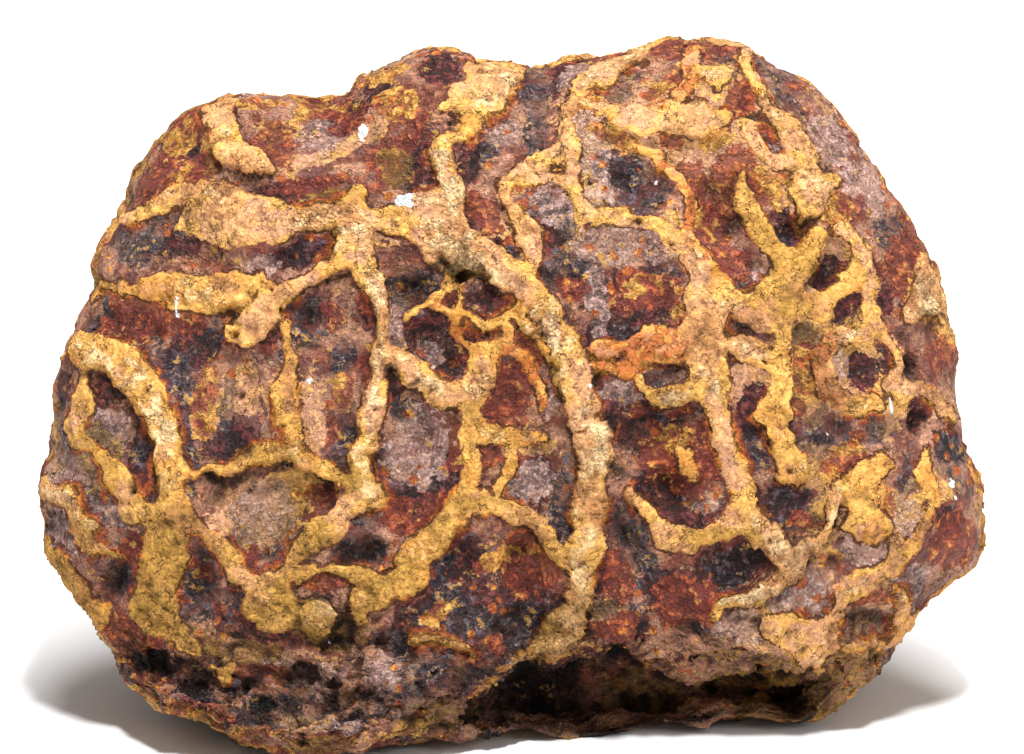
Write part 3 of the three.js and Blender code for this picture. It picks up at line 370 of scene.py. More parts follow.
def plainForm(direction):
    x, y, z = direction.T
    around, outward, front = np.arctan2(y, x), np.hypot(x, y), z > 0
    bulge = np.where(front, stoneForm["frontBulge"], stoneForm["backBulge"])
    roundness = np.where(front, stoneForm["frontRoundness"], stoneForm["backRoundness"])
    inward = np.maximum(0, 1 - outward ** roundness)
    radius = alongLine(polarOutline(), around) * outward
    u = stoneForm["middle"][0] + radius * np.cos(around)
    v = stoneForm["middle"][1] + radius * np.sin(around)
    rim = alongLine(rimPlaces, np.degrees(around)) * outward ** roundness
    depth = np.sign(z) * bulge * inward ** (1 / roundness)
    under = stoneForm["undercutDepth"] * inUndercut(u, v) * (1 - smoothStep(outward, *undercutRim))
    lobe = smoothStep(alongLine(lobeTop, u) - v, *lobeRise) * betweenEnds(u, lobeEnds)
    foot = smoothStep(z, *footFront) * (stoneForm["footLobe"] * lobe - under)
    return breakFlats(np.stack((u, v, rim + depth + foot), axis=1))


def wrappedGrid(cells):  # a sphere of six square grids: its directions and its four-sided faces
    steps = np.tan(np.linspace(-math.pi / 4, math.pi / 4, cells + 1))
    across, up = np.meshgrid(steps, steps, indexing="ij")
    flat = np.stack((across, up, np.ones_like(across)), axis=-1).reshape(-1, 3)
    turns = [(0, 1, 2), (1, 2, 0), (2, 0, 1)]
    points, quads = [], []
    base = np.arange((cells + 1) ** 2).reshape(cells + 1, cells + 1)
    square = np.stack((base[:-1, :-1], base[1:, :-1], base[1:, 1:], base[:-1, 1:]), axis=-1).reshape(-1, 4)
    for turn in turns:
        for side in (1, -1):
            grid = flat * (1, side, side)
            quads.append(square + len(points) * len(flat))
            points.append(grid[:, turn])
    points, quads = np.concatenate(points), np.concatenate(quads)
    points /= np.linalg.norm(points, axis=1)[:, None]
    _, keep, place = np.unique(np.round(points, 6), axis=0, return_index=True, return_inverse=True)
    return points[keep], place.reshape(-1)[quads]


def pointNormals(points, quads):
    corners = points[quads]
    faceNormals = np.cross(corners[:, 2] - corners[:, 0], corners[:, 3] - corners[:, 1])
    normals = np.zeros_like(points)
    for corner in range(4):
        for axis in range(3):
            normals[:, axis] += np.bincount(quads[:, corner], faceNormals[:, axis], len(points))
    return normals / np.linalg.norm(normals, axis=1)[:, None]


def neighbourMean(values, quads, rounds):
    here, there = np.concatenate([quads[:, [corner, (corner + 1) % 4]] for corner in range(4)]).T
    count = np.bincount(here, minlength=len(values))
    for _ in range(rounds):
        sums = [np.bincount(here, values[there, axis], len(values)) for axis in range(3)]
        values = np.stack(sums, axis=1) / count[:, None]
    return values


# Relief of the face

# Gap to the edge of the nearest vein, less than 0 inside it, then its half width, its lift and its number
def nearestVein(u, v):
    gap, soft = np.full(len(u), 99.0), np.full(len(u), 99.0)
    half, number = np.ones(len(u)), np.zeros(len(u), int)
    lifts, shares = np.zeros(len(u)), np.zeros(len(u))
    for index, (rise, *points) in enumerate(veins.values()):
        stroke = np.full(len(u), 99.0)
        for (fromU, fromV, fromHalf), (toU, toV, toHalf) in zip(points, points[1:]):
            du, dv = toU - fromU, toV - fromV
            along = np.clip(((u - fromU) * du + (v - fromV) * dv) / (du * du + dv * dv), 0, 1)
            width = fromHalf + along * (toHalf - fromHalf)
            away = np.hypot(u - fromU - along * du, v - fromV - along * dv) - width
            stroke = np.minimum(stroke, away)
            closer = away < gap
            gap[closer], half[closer], number[closer] = away[closer], width[closer], index
        share = np.exp(-np.clip(stroke, -2, 60))
        lifts, shares = lifts + share * rise, shares + share
        near = np.maximum(0, 1 - np.abs(soft - stroke) / stoneForm["veinWeb"])
        soft = np.minimum(soft, stroke) - near * near * stoneForm["veinWeb"] / 4
    return soft, half, lifts / shares, number


def veinHeight(gap, half, lift, foot):
    wall = 1 - smoothStep(gap, -stoneForm["veinInset"], foot)
    inward = np.clip(-gap / half, 0, 1)
    crown = stoneForm["veinCrown"] * half * np.sqrt(inward * (2 - inward))
    rise = stoneForm["veinRise"] * np.minimum(1, 0.5 + half / 5) * wall
    cell = stoneForm["cellDepth"] * np.minimum(1, 0.35 + 0.65 * lift)
    return lift * (rise + crown) - cell * smoothStep(gap, 0, stoneForm["cellSlope"])


def ovalReach(u, v, atU, atV, halfLength, halfWidth, turn=0):  # 0 in the middle of an oval, 1 on its border
    cos, sin = math.cos(math.radians(turn)), math.sin(math.radians(turn))
    along = ((u - atU) * cos + (v - atV) * sin) / halfLength
    across = ((v - atV) * cos - (u - atU) * sin) / halfWidth
    return np.hypot(along, across)


def hollowDepth(u, v):
    border = stoneForm["hollowBorder"]
    return sum(deep * (1 - smoothStep(ovalReach(u, v, *oval), *border)) for *oval, deep in hollows)


def ledgeDrop(u, v):
    half, fade = stoneForm["ledgeBrink"], stoneForm["ledgeFade"]
    total = 0
    for deep, reach, *line in ledges:
        start, end = line[0][0], line[-1][0]
        below = alongLine(line, u) - v
        brink = smoothStep(below, -half, half)
        rise = 1 - smoothStep(below, 0.4 * reach, reach)
        total = total + deep * betweenEnds(u, (start, start + fade, end - fade, end)) * brink * rise
    return total


# Net of veins on the sides and the back, along the borders of cells round well spread seeds

def backSeeds():
    count = stoneForm["backSeeds"]
    index = np.arange(count)
    height = 1 - (2 * index + 1) / count
    flat = np.sqrt(1 - height * height)
    turn = index * math.pi * (3 - math.sqrt(5)) + 0.9 * np.sin(index * 12.9898)
    return plainForm(np.stack((flat * np.cos(turn), flat * np.sin(turn), height), axis=1))


def backVein(points):  # gap and half width, as nearestVein gives them
    x, y, z = points.T
    bend, bendSize, width, widthSize = stoneForm["backWander"]
    waves = [swells(*turned, bendSize) for turned in ((y, z, x), (z, x, y), (x, y, z))]
    bent = points + bend * np.stack(waves, axis=1)
    seeds = backSeeds()
    away = np.linalg.norm(bent[:, None] - seeds[None], axis=2)
    order = np.argpartition(away, 1, axis=1)[:, :2]
    near, far = np.take_along_axis(away, order, axis=1).T
    apart = np.linalg.norm(seeds[order[:, 0]] - seeds[order[:, 1]], axis=1)
    half = stoneForm["backVeinHalf"] * (0.75 + width * swells(z, y, x, widthSize))  # under 0: no vein
    return (far * far - near * near) / (2 * apart) - half, np.maximum(0.4, half)


# Where iron, manganese and clay have stained the face, and, in the last list, where shadow is painted on
# it: ovals of [u, v, half length, half width, turn].
# An oval with no turn lies level. The order of the names sets the seeds of their scatter off the face.
stains = {
    "slate": [
        [-12, 29, 4, 3], [-56, 14, 6, 2.6, -20], [-46, 8, 6, 2, -10], [-24, 10, 6, 2], [-9, 25.5, 8, 3],
        [-40, 11, 5, 2.6], [-15, 19.5, 4, 4], [29, 92, 4, 1.6], [-50, 38, 5, 1.6, -50],
        [-41, 40, 4, 1.4, 50], [-73, 98, 4, 3.5], [-66, 100.5, 5, 2.5, 25], [-62.5, 109, 4, 1.2, 15],
        [-7.8, 104, 1.6, 2.6], [-1.5, 95.5, 2, 2], [5, 119.5, 6, 1.8, 80], [3, 124.5, 2.5, 1.5],
        [-3, 122.5, 3, 2.5], [-4, 116, 3, 1.8, 70], [4, 128, 3, 2.5], [19.5, 126, 3.5, 2, 10],
        [23, 129.5, 2, 1], [23.4, 108.6, 5.8, 4.6, -30], [13.5, 112.5, 2, 2], [4.5, 105, 2.5, 2.5],
        [8, 102.5, 2.5, 2], [9.5, 91.5, 5, 4], [40.8, 131.5, 3.5, 1.6, 80], [49, 129.5, 3.4, 2.5, -20],
        [54, 123.5, 4, 2.5, -60], [52.5, 98, 2, 2], [73, 99, 3.5, 3, 60], [-73, 88.6, 6, 1.6, 5],
        [-78.2, 83.5, 4, 1.8, 70], [-70.5, 79, 3, 2.5], [-64.6, 73, 4.5, 2.6, -50],
        [-61.4, 67, 4, 1.5, 90], [-60.8, 57, 7, 1.2, 90], [-57.6, 79.5, 3.5, 3], [-57, 84, 2.5, 2],
        [-86.8, 64, 4, 1.2, 90], [-84, 59.5, 3, 1.3, -45], [-79, 54, 3.4, 1.4, -45],
        [-75, 49.5, 2, 1.3, -45], [-70, 61.5, 4, 1.2, 90], [-69, 53, 5, 1.8, 90], [-54, 66, 4.5, 1.3, 90],
        [-44.3, 64, 5, 1.7, 80], [-43.5, 75.5, 2, 1.5], [-39, 82.5, 4, 3.5], [-37, 95, 5.4, 2.8, 8],
        [-32.3, 75, 3.5, 2.2, 90], [-32, 57.5, 5, 1.8, 90], [-19, 88.3, 5.6, 4.2], [-23, 57, 5, 1.2, 90],
        [-20, 65.4, 4, 1.3], [-22, 51.5, 2, 1.5], [4, 83, 3, 1.6, -50], [7.3, 76, 3.5, 1.5, 90],
        [8.3, 69, 2.5, 1.3, 90], [3, 76.5, 3.4, 2.5, 90], [11, 49, 9, 2.4, 85], [-0.5, 50, 2.5, 2.2],
        [19.7, 80.2, 4.5, 2], [29.8, 72.7, 4.4, 2.3], [16.2, 71, 2, 1.2, 90], [31.5, 62.5, 4.4, 2.4],
        [37.6, 55, 1.4, 4], [36.5, 54, 5, 2, 80], [44.5, 79.5, 4.5, 3], [45.8, 59.5, 4.7, 3, 80],
        [55.5, 79, 2.6, 2.6], [58, 61, 5.6, 4.6], [68.7, 61.5, 2.8, 2.2], [86.3, 52, 3.4, 2.2, 90],
        [74.8, 53, 3, 1.8, 90], [84, 58, 3, 2.5, 90], [-83.3, 41, 2, 1.5], [-79.5, 45.5, 2, 1],
        [-73.5, 42.3, 2.5, 2, 90], [-75.5, 33, 5.4, 2.4, 80], [-59, 32, 6.5, 4, 80], [-53, 29, 2.6, 2.4],
        [-51.5, 40, 3.4, 2, -55], [-45, 37, 3, 2, 40], [-39.5, 41, 3, 2, 50], [-58.5, 19, 2.5, 1.2],
        [-28.5, 38, 5, 3], [-26, 44, 2.5, 2], [-10, 42, 3, 1.6, 20], [-13, 36, 3, 2, 60],
        [-23.5, 22.5, 3.5, 2.5], [-19.5, 17, 7, 3.5, 80], [3.5, 24, 5.6, 4.5], [23.6, 41, 8, 2.4, -58],
        [23.2, 31.8, 2.4, 2], [21, 28, 4, 1.5, -15], [42, 37, 5.4, 3, 15], [35, 25, 2.5, 2.5],
        [52, 46.5, 5.5, 5], [54, 30, 5, 3.6, 10], [67.3, 25, 5, 4.4], [75.5, 31, 5, 2.6, 70],
    ],
    "maroon": [
        [37, 94, 2, 4, 20], [-18, 22, 4, 2.6], [-12, 51, 4, 3], [-18, 26, 4, 3], [-60, 11, 5, 2.4, -25],
        [-50, 8, 5, 2], [-28, 8, 6, 2.4], [20, 24, 6, 3], [-52, 59.4, 5.2, 5], [-4, 21, 6, 3.6],
        [23.4, 86, 6.4, 6], [-14, 37, 2.4, 4], [4, 28, 5, 4], [-39, 94.6, 7, 2.6, 8], [-15, 48, 9, 5],
        [-6, 28, 13, 6.5], [17, 81, 3.4, 7], [17, 63, 2.6, 4.6], [-61, 77, 5, 4], [-69, 60, 3, 9],
        [-52, 60, 3.4, 5], [-17, 113, 4, 6], [-71, 36, 4.6, 6], [-83, 45, 5, 6], [-80, 62, 5, 6],
        [52, 98, 6, 4, -60], [-47, 26, 8, 4], [0, 16, 12, 5], [-64, 117, 7, 2.6, 50], [-34, 105, 6, 3],
        [7, 101, 4, 5], [20, 112, 4, 3], [-33, 122, 6, 2.6], [-44, 106.5, 6, 2.2], [-25, 126, 3, 3],
        [-14, 131.5, 4, 2.5], [-8, 113, 4.6, 2.6, 80], [-2, 97, 2.6, 2], [49.5, 116, 3.6, 2.4, -50],
        [44.5, 125.5, 4.6, 1.4, 80], [53, 99.5, 3.5, 3.5], [9, 128.5, 3.5, 1.6, 80], [-73, 82, 6, 4],
        [33, 31, 8, 5], [62.5, 85, 3, 2.6], [-64, 76, 2.5, 2.5], [-86, 70, 3.5, 2, 90], [-75.5, 70, 3, 2],
        [-52.4, 59, 4.6, 4.4], [-28.2, 85, 4, 1, 85], [-45.5, 79.8, 2, 1.5], [-23, 99.5, 3, 1.2],
        [-4.5, 85, 4.6, 4], [-6.5, 79, 3, 2.4], [-14, 77.5, 6.6, 6.4], [-22.5, 70, 4.5, 2, 70],
        [-12.6, 55, 3.5, 2.4, 90], [-2, 70.6, 2, 3, 90], [4, 51.5, 5, 4, 90], [29, 50, 6, 3.6],
        [25, 62, 6, 5], [22, 69.5, 4, 2.4], [25, 73, 1.6, 1.2], [43.5, 89, 5, 3.5],
        [45.5, 65, 4.4, 2.8, 90], [66.4, 73, 3.4, 3, 90], [63, 85.5, 2.8, 2.6], [71, 77, 3.8, 1.8, 90],
        [71, 87, 2.6, 1.6, 90], [77.8, 63.7, 3.3, 2.3, 90], [83.5, 59, 3, 2.5], [60, 91, 3.5, 2.8, 60],
        [41, 36, 7, 5, 15], [51, 47, 5.4, 5], [32, 46, 5.4, 3], [83.5, 44, 3.6, 3], [32.5, 28, 4.5, 4],
        [-10, 36, 6, 4.4, 60], [-68.5, 18, 4.5, 2, -20], [16.5, 33.5, 2.6, 1.6, 90], [-11, 16, 4.6, 3.8],
        [-77.5, 47, 4, 3], [18, 25, 2, 2.2], [13, 89, 3, 3], [-64, 97, 4, 2.6],
    ],
    "rust": [
        [-31, 121, 4, 2, 10], [54, 112, 3, 2.4], [-60, 103, 5, 1.6], [-38, 108, 7, 2, 10],
        [42, 94, 3, 4, 30], [-1, 68, 5, 4, 90], [33, 30, 6, 4], [38.5, 103, 3, 5, 20], [-70, 82, 6, 2.6],
        [56, 75, 2, 3], [33, 56, 7, 6], [-61, 121, 3, 4], [-69, 110, 6, 3, 50], [-72, 17, 5, 3, -40],
        [-58, 9, 5, 2, -20], [-36, 3, 6, 2, 5], [42, 112, 4, 3], [-5, 57, 3, 2, 60], [-17, 48, 6, 2.4],
        [-20, 45, 4, 2], [-20, 117, 6, 2.2, 60], [-5, 103.5, 4.4, 2.2, -60], [30, 117, 2, 1.6],
        [28.5, 127, 3.4, 1.6, 20], [34, 109.5, 4.5, 3, 90], [56.5, 128, 1.8, 1], [43.5, 125, 4, 2.4, 90],
        [73, 94, 1.6, 1.5], [69, 92, 2, 1.5], [74.8, 90.5, 4.6, 2.3, 90], [-71, 85, 4.6, 2.6],
        [-62, 82, 3.2, 3], [-45.5, 77.5, 1.8, 1.5], [-34.5, 83, 2.2, 1.5, 80], [-35, 94, 2.6, 1.3],
        [-27.8, 86, 3.6, 0.9, 90], [-28.6, 72, 3, 1, 90], [-34, 60, 3, 1, 90], [-28.9, 58, 3.6, 0.8, 90],
        [-11.5, 85.5, 2, 1.6], [-10.8, 56, 2.2, 1.4, 90], [1.8, 85.5, 2, 1.8], [12, 88.5, 3, 2.2, -30],
        [22, 88, 4.4, 2.6, 80], [32, 64.5, 1.6, 1.2], [23.5, 65, 1.5, 1.5], [27, 62.5, 1.2, 1],
        [28, 57, 3, 2.4], [31.5, 60.5, 1.5, 1], [66, 60.5, 1.6, 1], [54, 66, 2, 1.8],
        [81.8, 75, 3.8, 2.4, 80], [88, 53, 1.5, 1, 90], [85, 40, 5.2, 4.6], [-71.5, 39, 4.2, 3, 80],
        [-73, 23.5, 3.6, 3], [-61.5, 36.5, 1.3, 1], [-58.5, 35, 1.5, 1], [-61.5, 29.5, 1, 0.8],
        [-69, 22.5, 2, 2], [-54.5, 28.5, 2, 1.5], [-49, 38, 2, 1.2, 90], [-36, 49.5, 2.6, 1.8],
        [-35, 33, 4.4, 2.2], [3, 37, 6.8, 4.6, 90], [6, 35, 3, 2, 90], [-3, 21.5, 2, 1.5],
        [20, 34, 5, 2.5, -60], [19.5, 24.5, 3.6, 3], [31, 26.5, 3, 3], [55, 44, 2, 1.5], [67, 30.6, 5, 1],
        [-47, 16, 3.6, 1.8], [-45.5, 117, 5, 4.4, 90], [27, 87, 5, 3], [-24, 112, 4, 3],
        [44, 108, 4.6, 3.4], [38, 103, 6, 3.6, -60], [75, 94.5, 3, 4], [34, 134, 8, 2], [66, 104, 3, 3],
    ],
    "pink": [
        [3.5, 52, 4, 4, 90], [-36, 16, 4, 2], [-60, 10, 4, 1.6, -20], [-37, 119, 4, 3], [-48, 46, 6, 5],
        [-33, 7, 5, 2], [-45, 16, 4, 3], [-24, 16, 3, 3], [-2, 119, 3.4, 3], [11.5, 129, 3, 2.6],
        [16, 115, 4.8, 3.4, 80], [6.5, 104, 4.2, 3.6], [21, 97, 10, 4, -8], [17, 106, 3, 8],
        [62, 116, 3, 3], [53, 114, 3.6, 2], [-84.5, 53, 6, 5, 90], [-76.5, 62.5, 3.8, 3.6],
        [-47, 93, 2.6, 2], [-21.6, 83, 5, 1.6, 90], [-17, 59, 6.6, 5.6, 90], [-16, 76, 2.6, 2.5],
        [7.2, 68, 4, 1.2, 90], [16, 85, 7, 1.8, 90], [21, 69.5, 4.2, 2.4], [44, 89, 5.2, 3.6],
        [-86, 41, 7, 3, 80], [-78, 47, 4.6, 3], [43.5, 25, 4.8, 3.6], [55, 30.5, 5.6, 4],
        [68, 38.5, 4.2, 3.4], [73.6, 45, 4.2, 3, 90], [76, 31, 5.2, 2.8, 70], [68, 108, 5, 4, -60],
        [60.5, 118.5, 3.4, 3.4], [36, 49, 3, 2], [62, 74, 2, 3], [13, 120, 2, 4],
    ],
    "ochre": [
        [-36, 123.6, 5, 2, 5], [-61, 111, 3, 6, -40], [-22, 124, 3, 4, -40], [54, 111, 4, 3],
        [-58.4, 67.6, 2, 6], [37.5, 103, 2.4, 4, 20], [62, 104, 4, 3], [30.6, 57, 3.4, 4.6],
        [56, 72, 4, 2, 90], [-25, 130.5, 3.8, 1.8, 30], [79, 87, 3.4, 5], [-64, 118, 4, 2, 50],
        [-48, 4, 5, 1, 10], [-50, 124.6, 5.4, 1.2], [-32, 68, 3.2, 1.4, 90], [32.4, 87.5, 1.3, 1],
        [32.4, 82.3, 2, 1.4, 90], [63, 55, 5, 3.6, 20], [68, 49, 5, 3.4, 90], [60.6, 37, 2.2, 1.3],
        [-14, 27, 3, 1.6, 60], [25, 88, 3, 2.4], [-4, 37, 1.6, 4.6, -70], [-57, 114, 3.6, 2, 80],
        [33, 128.5, 6, 2, 10], [-8.4, 119, 3, 2.4], [14.4, 124.5, 2.2, 1.6], [20, 117.5, 4.6, 1.3, -20],
        [28.5, 74.8, 5.4, 1.4], [56, 19, 3.2, 3], [46, 14, 9, 2], [-20, 4, 6, 1.4, 8], [-60, 8, 5, 1, -25],
        [47.5, 107, 4, 3], [38, 118, 4, 2],
    ],
    "moss": [
        [-24, 34, 6, 3, 20], [-36, 40, 4, 4, 45], [-11, 46, 5, 2, 30], [52, 95, 8, 5.6, -45],
        [54, 87, 5, 3, 20], [40, 42, 8, 2.4], [44.6, 60, 2, 8, 8], [-30, 52, 4, 3], [-66, 33, 5, 9],
        [-46, 28, 8, 4],
    ],
    "olive": [
        [-78, 56, 4, 6], [-48, 56, 8, 2], [28, 11, 6, 2.6], [60, 10, 9, 4, 30], [-34, 24, 6, 3],
        [22, 12, 4, 3], [45, 15.5, 11, 3.4], [65, 13.5, 7.6, 6.4, 30], [-33, 106, 5.4, 2],
        [-22, 112, 4, 3], [-60, 22, 5, 2, -20], [-36, 2, 6, 2, 5], [-14, 8, 7, 2, 10], [50, 9, 7, 4],
        [-50, 20, 6, 2], [-77, 58.6, 2.6, 2.5],
    ],
    "clay": [
        [-38, 101.6, 9, 3], [-24, 101, 5, 3.6], [-12, 98.6, 7, 4, -20], [-4, 95.6, 5, 3, -35],
        [4, 110, 6, 2.4, 30], [17, 103.4, 6, 2.2, -15], [31, 97, 2.4, 6, 20], [-3, 101, 2, 4, 30],
        [5, 58.5, 3.4, 1.8, -10], [17, 28, 3, 3], [72, 64, 2.6, 4], [37, 50, 1.6, 3],
        [-40, 113.4, 8, 1.6, 18], [-28, 118.4, 6, 1.5, 32], [-50.6, 69, 3.4, 5], [-54.6, 66, 1.4, 5],
        [46, 72, 4, 2.4], [57, 68, 3, 5], [70.4, 74, 1.8, 5], [34, 119, 22, 9, -6], [46, 112, 9, 8, -50],
        [58, 84, 8, 14], [15, 110, 2, 9, 5], [10, 101, 3, 5], [69, 79, 4, 3], [84, 84, 3, 8],
        [18, 25, 4, 4], [60, 74, 12, 9], [61, 95, 6, 5], [66, 86, 4.6, 4], [83, 86, 3, 7], [47, 69, 5, 8],
        [67, 46, 10, 5], [52, 24, 10, 5], [70, 22, 7, 4], [-66, 86, 12, 3.2], [-5, 90, 8, 2.4, -20],
        [-38, 63, 3, 8], [55, 104, 4, 5], [-49, 46, 9, 5.6], [-44, 66, 2, 8], [40, 30, 9, 2.6],
        [80, 51, 5, 3], [79, 66, 4, 3], [-41, 51, 5, 3.6], [59, 44, 3, 5], [67, 31, 6, 3.4],
        [-33, 8, 9, 2, 5], [75, 22, 4, 3], [44, 125, 3.4, 6, 20], [49, 123, 3, 4], [6, 40, 2, 5],
        [-88, 55, 2, 8], [-45, 120, 5, 2], [67, 30, 8, 3], [57, 55, 6, 4],
    ],
    # Near-black patches of the stone, and painted shadow under ledges, in holes and along the top of the
    # undercut
    "darkAndShadow": [
        [8, 18, 13, 2.6, 8], [-51.8, 68.4, 1.6, 0.8, 90], [-52, 59, 3.8, 3], [-25.5, 40.5, 2.6, 1.8],
        [-44, 10, 6, 1.8], [-8, 10, 5, 3], [1, 16.4, 8, 2], [-10.4, 90.6, 2.8, 2.4, 90],
        [17.4, 62.5, 1.2, 2.6], [4, 10, 15, 6.4], [36, 6, 8, 2], [18, 5, 34, 2.6], [-54, 52.6, 6, 1.3],
        [42.6, 101, 2.4, 1.6, 90], [76.5, 74, 3.4, 1.6, 90], [-28.8, 38, 4.6, 2, 10],
        [-75.6, 33, 4.2, 1.6, 80], [61, 36.6, 1.8, 1.3], [57.5, 13, 1.2, 1.2], [60.5, 9, 1.2, 1.2],
        [-28.5, 18.3, 1, 1.2], [-38.5, 77.3, 1.6, 0.8], [20.4, 54.4, 4, 0.9, -35], [-36.5, 30, 3.6, 0.9],
        [-36.6, 22.4, 3.6, 1], [-4, 15, 7, 2.4], [-20, 70, 1, 2, -40], [-14, 93, 3, 1.4],
        [-7.8, 113.4, 3, 1.4, 80], [46, 121, 1.5, 1], [9.3, 118, 6, 0.6, 80],
    ],
}

# Veins by the tint of their clay; the rest are tan
tints = {
    "yellow": {
        "topYellow", "fingerOne", "fingerTwo", "longDrop", "smile", "netFoot", "yellowPost",
        "yellowPostLeft", "lowSlope", "oreIsland", "yellowBlock", "netRight", "netEdge", "netLeft",
        "netMiddle", "netBranch", "netThread", "innerPost", "yellowArc", "rightStreak", "lowerBandLeft",
        "smallCone", "lowShelf", "rimStrip", "yellowWedge", "lensSill", "lowerSill", "bandHorn", "leftArm",
        "leftArmLow", "bowlBrow",
    },
    "pinkVein": {
        "pinkArc", "saddle", "slateRing", "greyLip", "rightFoot", "innerStrand", "roundNodule", "rightRib",
        "tanNose", "cornerTan",
    },
    "rusty": {"upperSill", "lowerSill", "barLeft", "backRib", "topStep", "netThread", "netMiddle"},
    "pale": {
        "trunkKnob", "seam", "hookVein", "topBlock", "leftKnob", "pebbles", "roundNodule", "topRightBand",
        "leftArm", "rimGlow", "strut", "bow", "spine",
    },
}

# Small round holes of the face: [u, v, radius]
pits = [
    [-12, 120, 0.6], [-77, 97.9, 0.5], [-56, 115.7, 0.5], [-52.3, 79.3, 0.8], [-43, 84, 0.5],
    [-35, 89.7, 0.6], [-81, 75, 0.9], [-79.3, 81, 0.4], [-68.5, 69, 0.5], [-51.6, 68.2, 1.2],
    [-25.7, 65.5, 0.5], [-49.7, 50.2, 0.6], [-76.7, 49.3, 0.5], [-71.7, 50.5, 0.8], [47.7, 74.6, 0.6],
    [52.5, 53.9, 0.7], [71.2, 58.4, 0.6], [73.3, 58, 0.5], [74.4, 56.7, 0.55], [66, 52.3, 0.5],
    [74.5, 79.5, 1.2], [15, 108.8, 0.5], [24.2, 101, 0.8], [-28.5, 18.3, 1], [57.3, 13, 1], [60.3, 9, 0.9],
    [13.2, 85, 0.5], [30.2, 96.8, 0.6],
]

# Dabs of white dust, as ovals
flecks = [
    [-28.7, 119.3, 1.4, 0.85, 90], [-28.7, 117.6, 0.5, 0.4], [-20.2, 105.3, 2, 1.5, 20],
    [-19, 104, 1, 0.7], [-63.5, 86.3, 0.6, 0.5], [-63.4, 83.3, 0.5, 0.4], [-63.45, 84.8, 1.4, 0.16, 90],
    [-38.2, 71, 0.7, 0.6], [-38, 68.2, 0.45, 0.4], [-38.1, 69.5, 1.3, 0.17, 90],
    [27.6, 108.8, 0.6, 0.35, 60], [14.8, 70, 0.7, 0.5, 30], [71.8, 66.2, 1.9, 0.35, -75],
    [84.2, 51.5, 1.2, 0.7, 60], [84.9, 48.8, 0.5, 0.4], [60.3, 61, 0.25, 0.25], [-34.3, 22, 1.2, 0.16, 90],
]


# Node trees written as sums: a Wire is one socket, and an operator on it adds a Math node

class Wire:
    def __init__(self, maker, socket):
        self.maker, self.socket = maker, socket

    def math(self, operation, *values):
        return self.maker.add("ShaderNodeMath", {"operation": operation}, dict(enumerate(values)))

    def __add__(self, other):
        return self.math("ADD", self, other)

    def __radd__(self, other):
        return self.math("ADD", other, self)

    def __sub__(self, other):
        return self.math("SUBTRACT", self, other)

    def __rsub__(self, other):
        return self.math("SUBTRACT", other, self)

    def __mul__(self, other):
        return self.math("MULTIPLY", self, other)

    def __rmul__(self, other):
        return self.math("MULTIPLY", other, self)

    def __truediv__(self, other):
        return self.math("DIVIDE", self, other)

    def __rtruediv__(self, other):
        return self.math("DIVIDE", other, self)

    def size(self):
        return self.math("ABSOLUTE", self)

    def atLeast(self, other):
        return self.math("MAXIMUM", self, other)


class NodeMaker:
    def __init__(self, tree):
        self.tree = tree
        tree.nodes.clear()

    def add(self, kind, settings=None, values=None, out=0):
        node = self.tree.nodes.new(kind)
        for name, setting in (settings or {}).items():
            setattr(node, name, setting)
        for place, value in (values or {}).items():
            if isinstance(value, Wire):
                self.tree.links.new(value.socket, node.inputs[place])
            else:
                node.inputs[place].default_value = value
        return Wire(self, node.outputs[out]) if len(node.outputs) else None

    def mark(self, name):  # a value kept on the points
        if self.tree.bl_idname == "GeometryNodeTree":
            return self.add("GeometryNodeInputNamedAttribute", None, {"Name": name})
        return self.add("ShaderNodeAttribute", {"attribute_name": name}, out="Fac")

    def noise(self, place, size, detail=3, rough=0.6, out=0):  # blobs of the given size in mm, 0 to 1
        values = {"Vector": place, "Scale": 1000 / size, "Detail": detail, "Roughness": rough}
        return self.add("ShaderNodeTexNoise", None, values, out)

    def bend(self, place, size, reach):  # the place moved about by a noise
        reach = (reach / 1000,) * 3
        values = {0: self.noise(place, size, 3, 0.6, "Color"), 1: reach, 2: place}
        return self.add("ShaderNodeVectorMath", {"operation": "MULTIPLY_ADD"}, values)

    def seeds(self, place, size):  # distance to the nearest of scattered seeds, in their mean spacing
        return self.add("ShaderNodeTexVoronoi", None, {"Vector": place, "Scale": 1000 / size})

    def step(self, value, low, high, start=0.0, end=1.0):
        values = {"Value": value, "From Min": low, "From Max": high, "To Min": start, "To Max": end}
        return self.add("ShaderNodeMapRange", {"interpolation_type": "SMOOTHSTEP"}, values)

    def mix(self, share, first, second, how="MIX"):  # colours
        settings = {"data_type": "RGBA", "blend_type": how}
        return self.add("ShaderNodeMix", settings, {0: share, 6: first, 7: second}, 2)

    def coats(self, colour, *layers):  # each layer a share and a colour, laid over what is there
        for share, layer in layers:
            colour = self.mix(share, colour, layer)
        return colour


def surfaceTree(name, sizes):  # a geometry tree with named inputs: its maker, its geometry and those inputs
    tree = bpy.data.node_groups.new(name, "GeometryNodeTree")
    tree.interface.new_socket("Geometry", in_out="INPUT", socket_type="NodeSocketGeometry")
    tree.interface.new_socket("Geometry", in_out="OUTPUT", socket_type="NodeSocketGeometry")
    for label in sizes:
        tree.interface.new_socket(label, in_out="INPUT", socket_type="NodeSocketFloat")
    maker = NodeMaker(tree)
    inputs = tree.nodes.new("NodeGroupInput").outputs
    return maker, Wire(maker, inputs["Geometry"]), {label: Wire(maker, inputs[label]) for label in sizes}


def endTree(maker, geometry, material):
    whole = maker.add("GeometryNodeRealizeInstances", None, {"Geometry": geometry})
    painted = maker.add("GeometryNodeSetMaterial", None, {"Geometry": whole, "Material": material})
    maker.add("NodeGroupOutput", None, {"Geometry": painted})
    return maker.tree


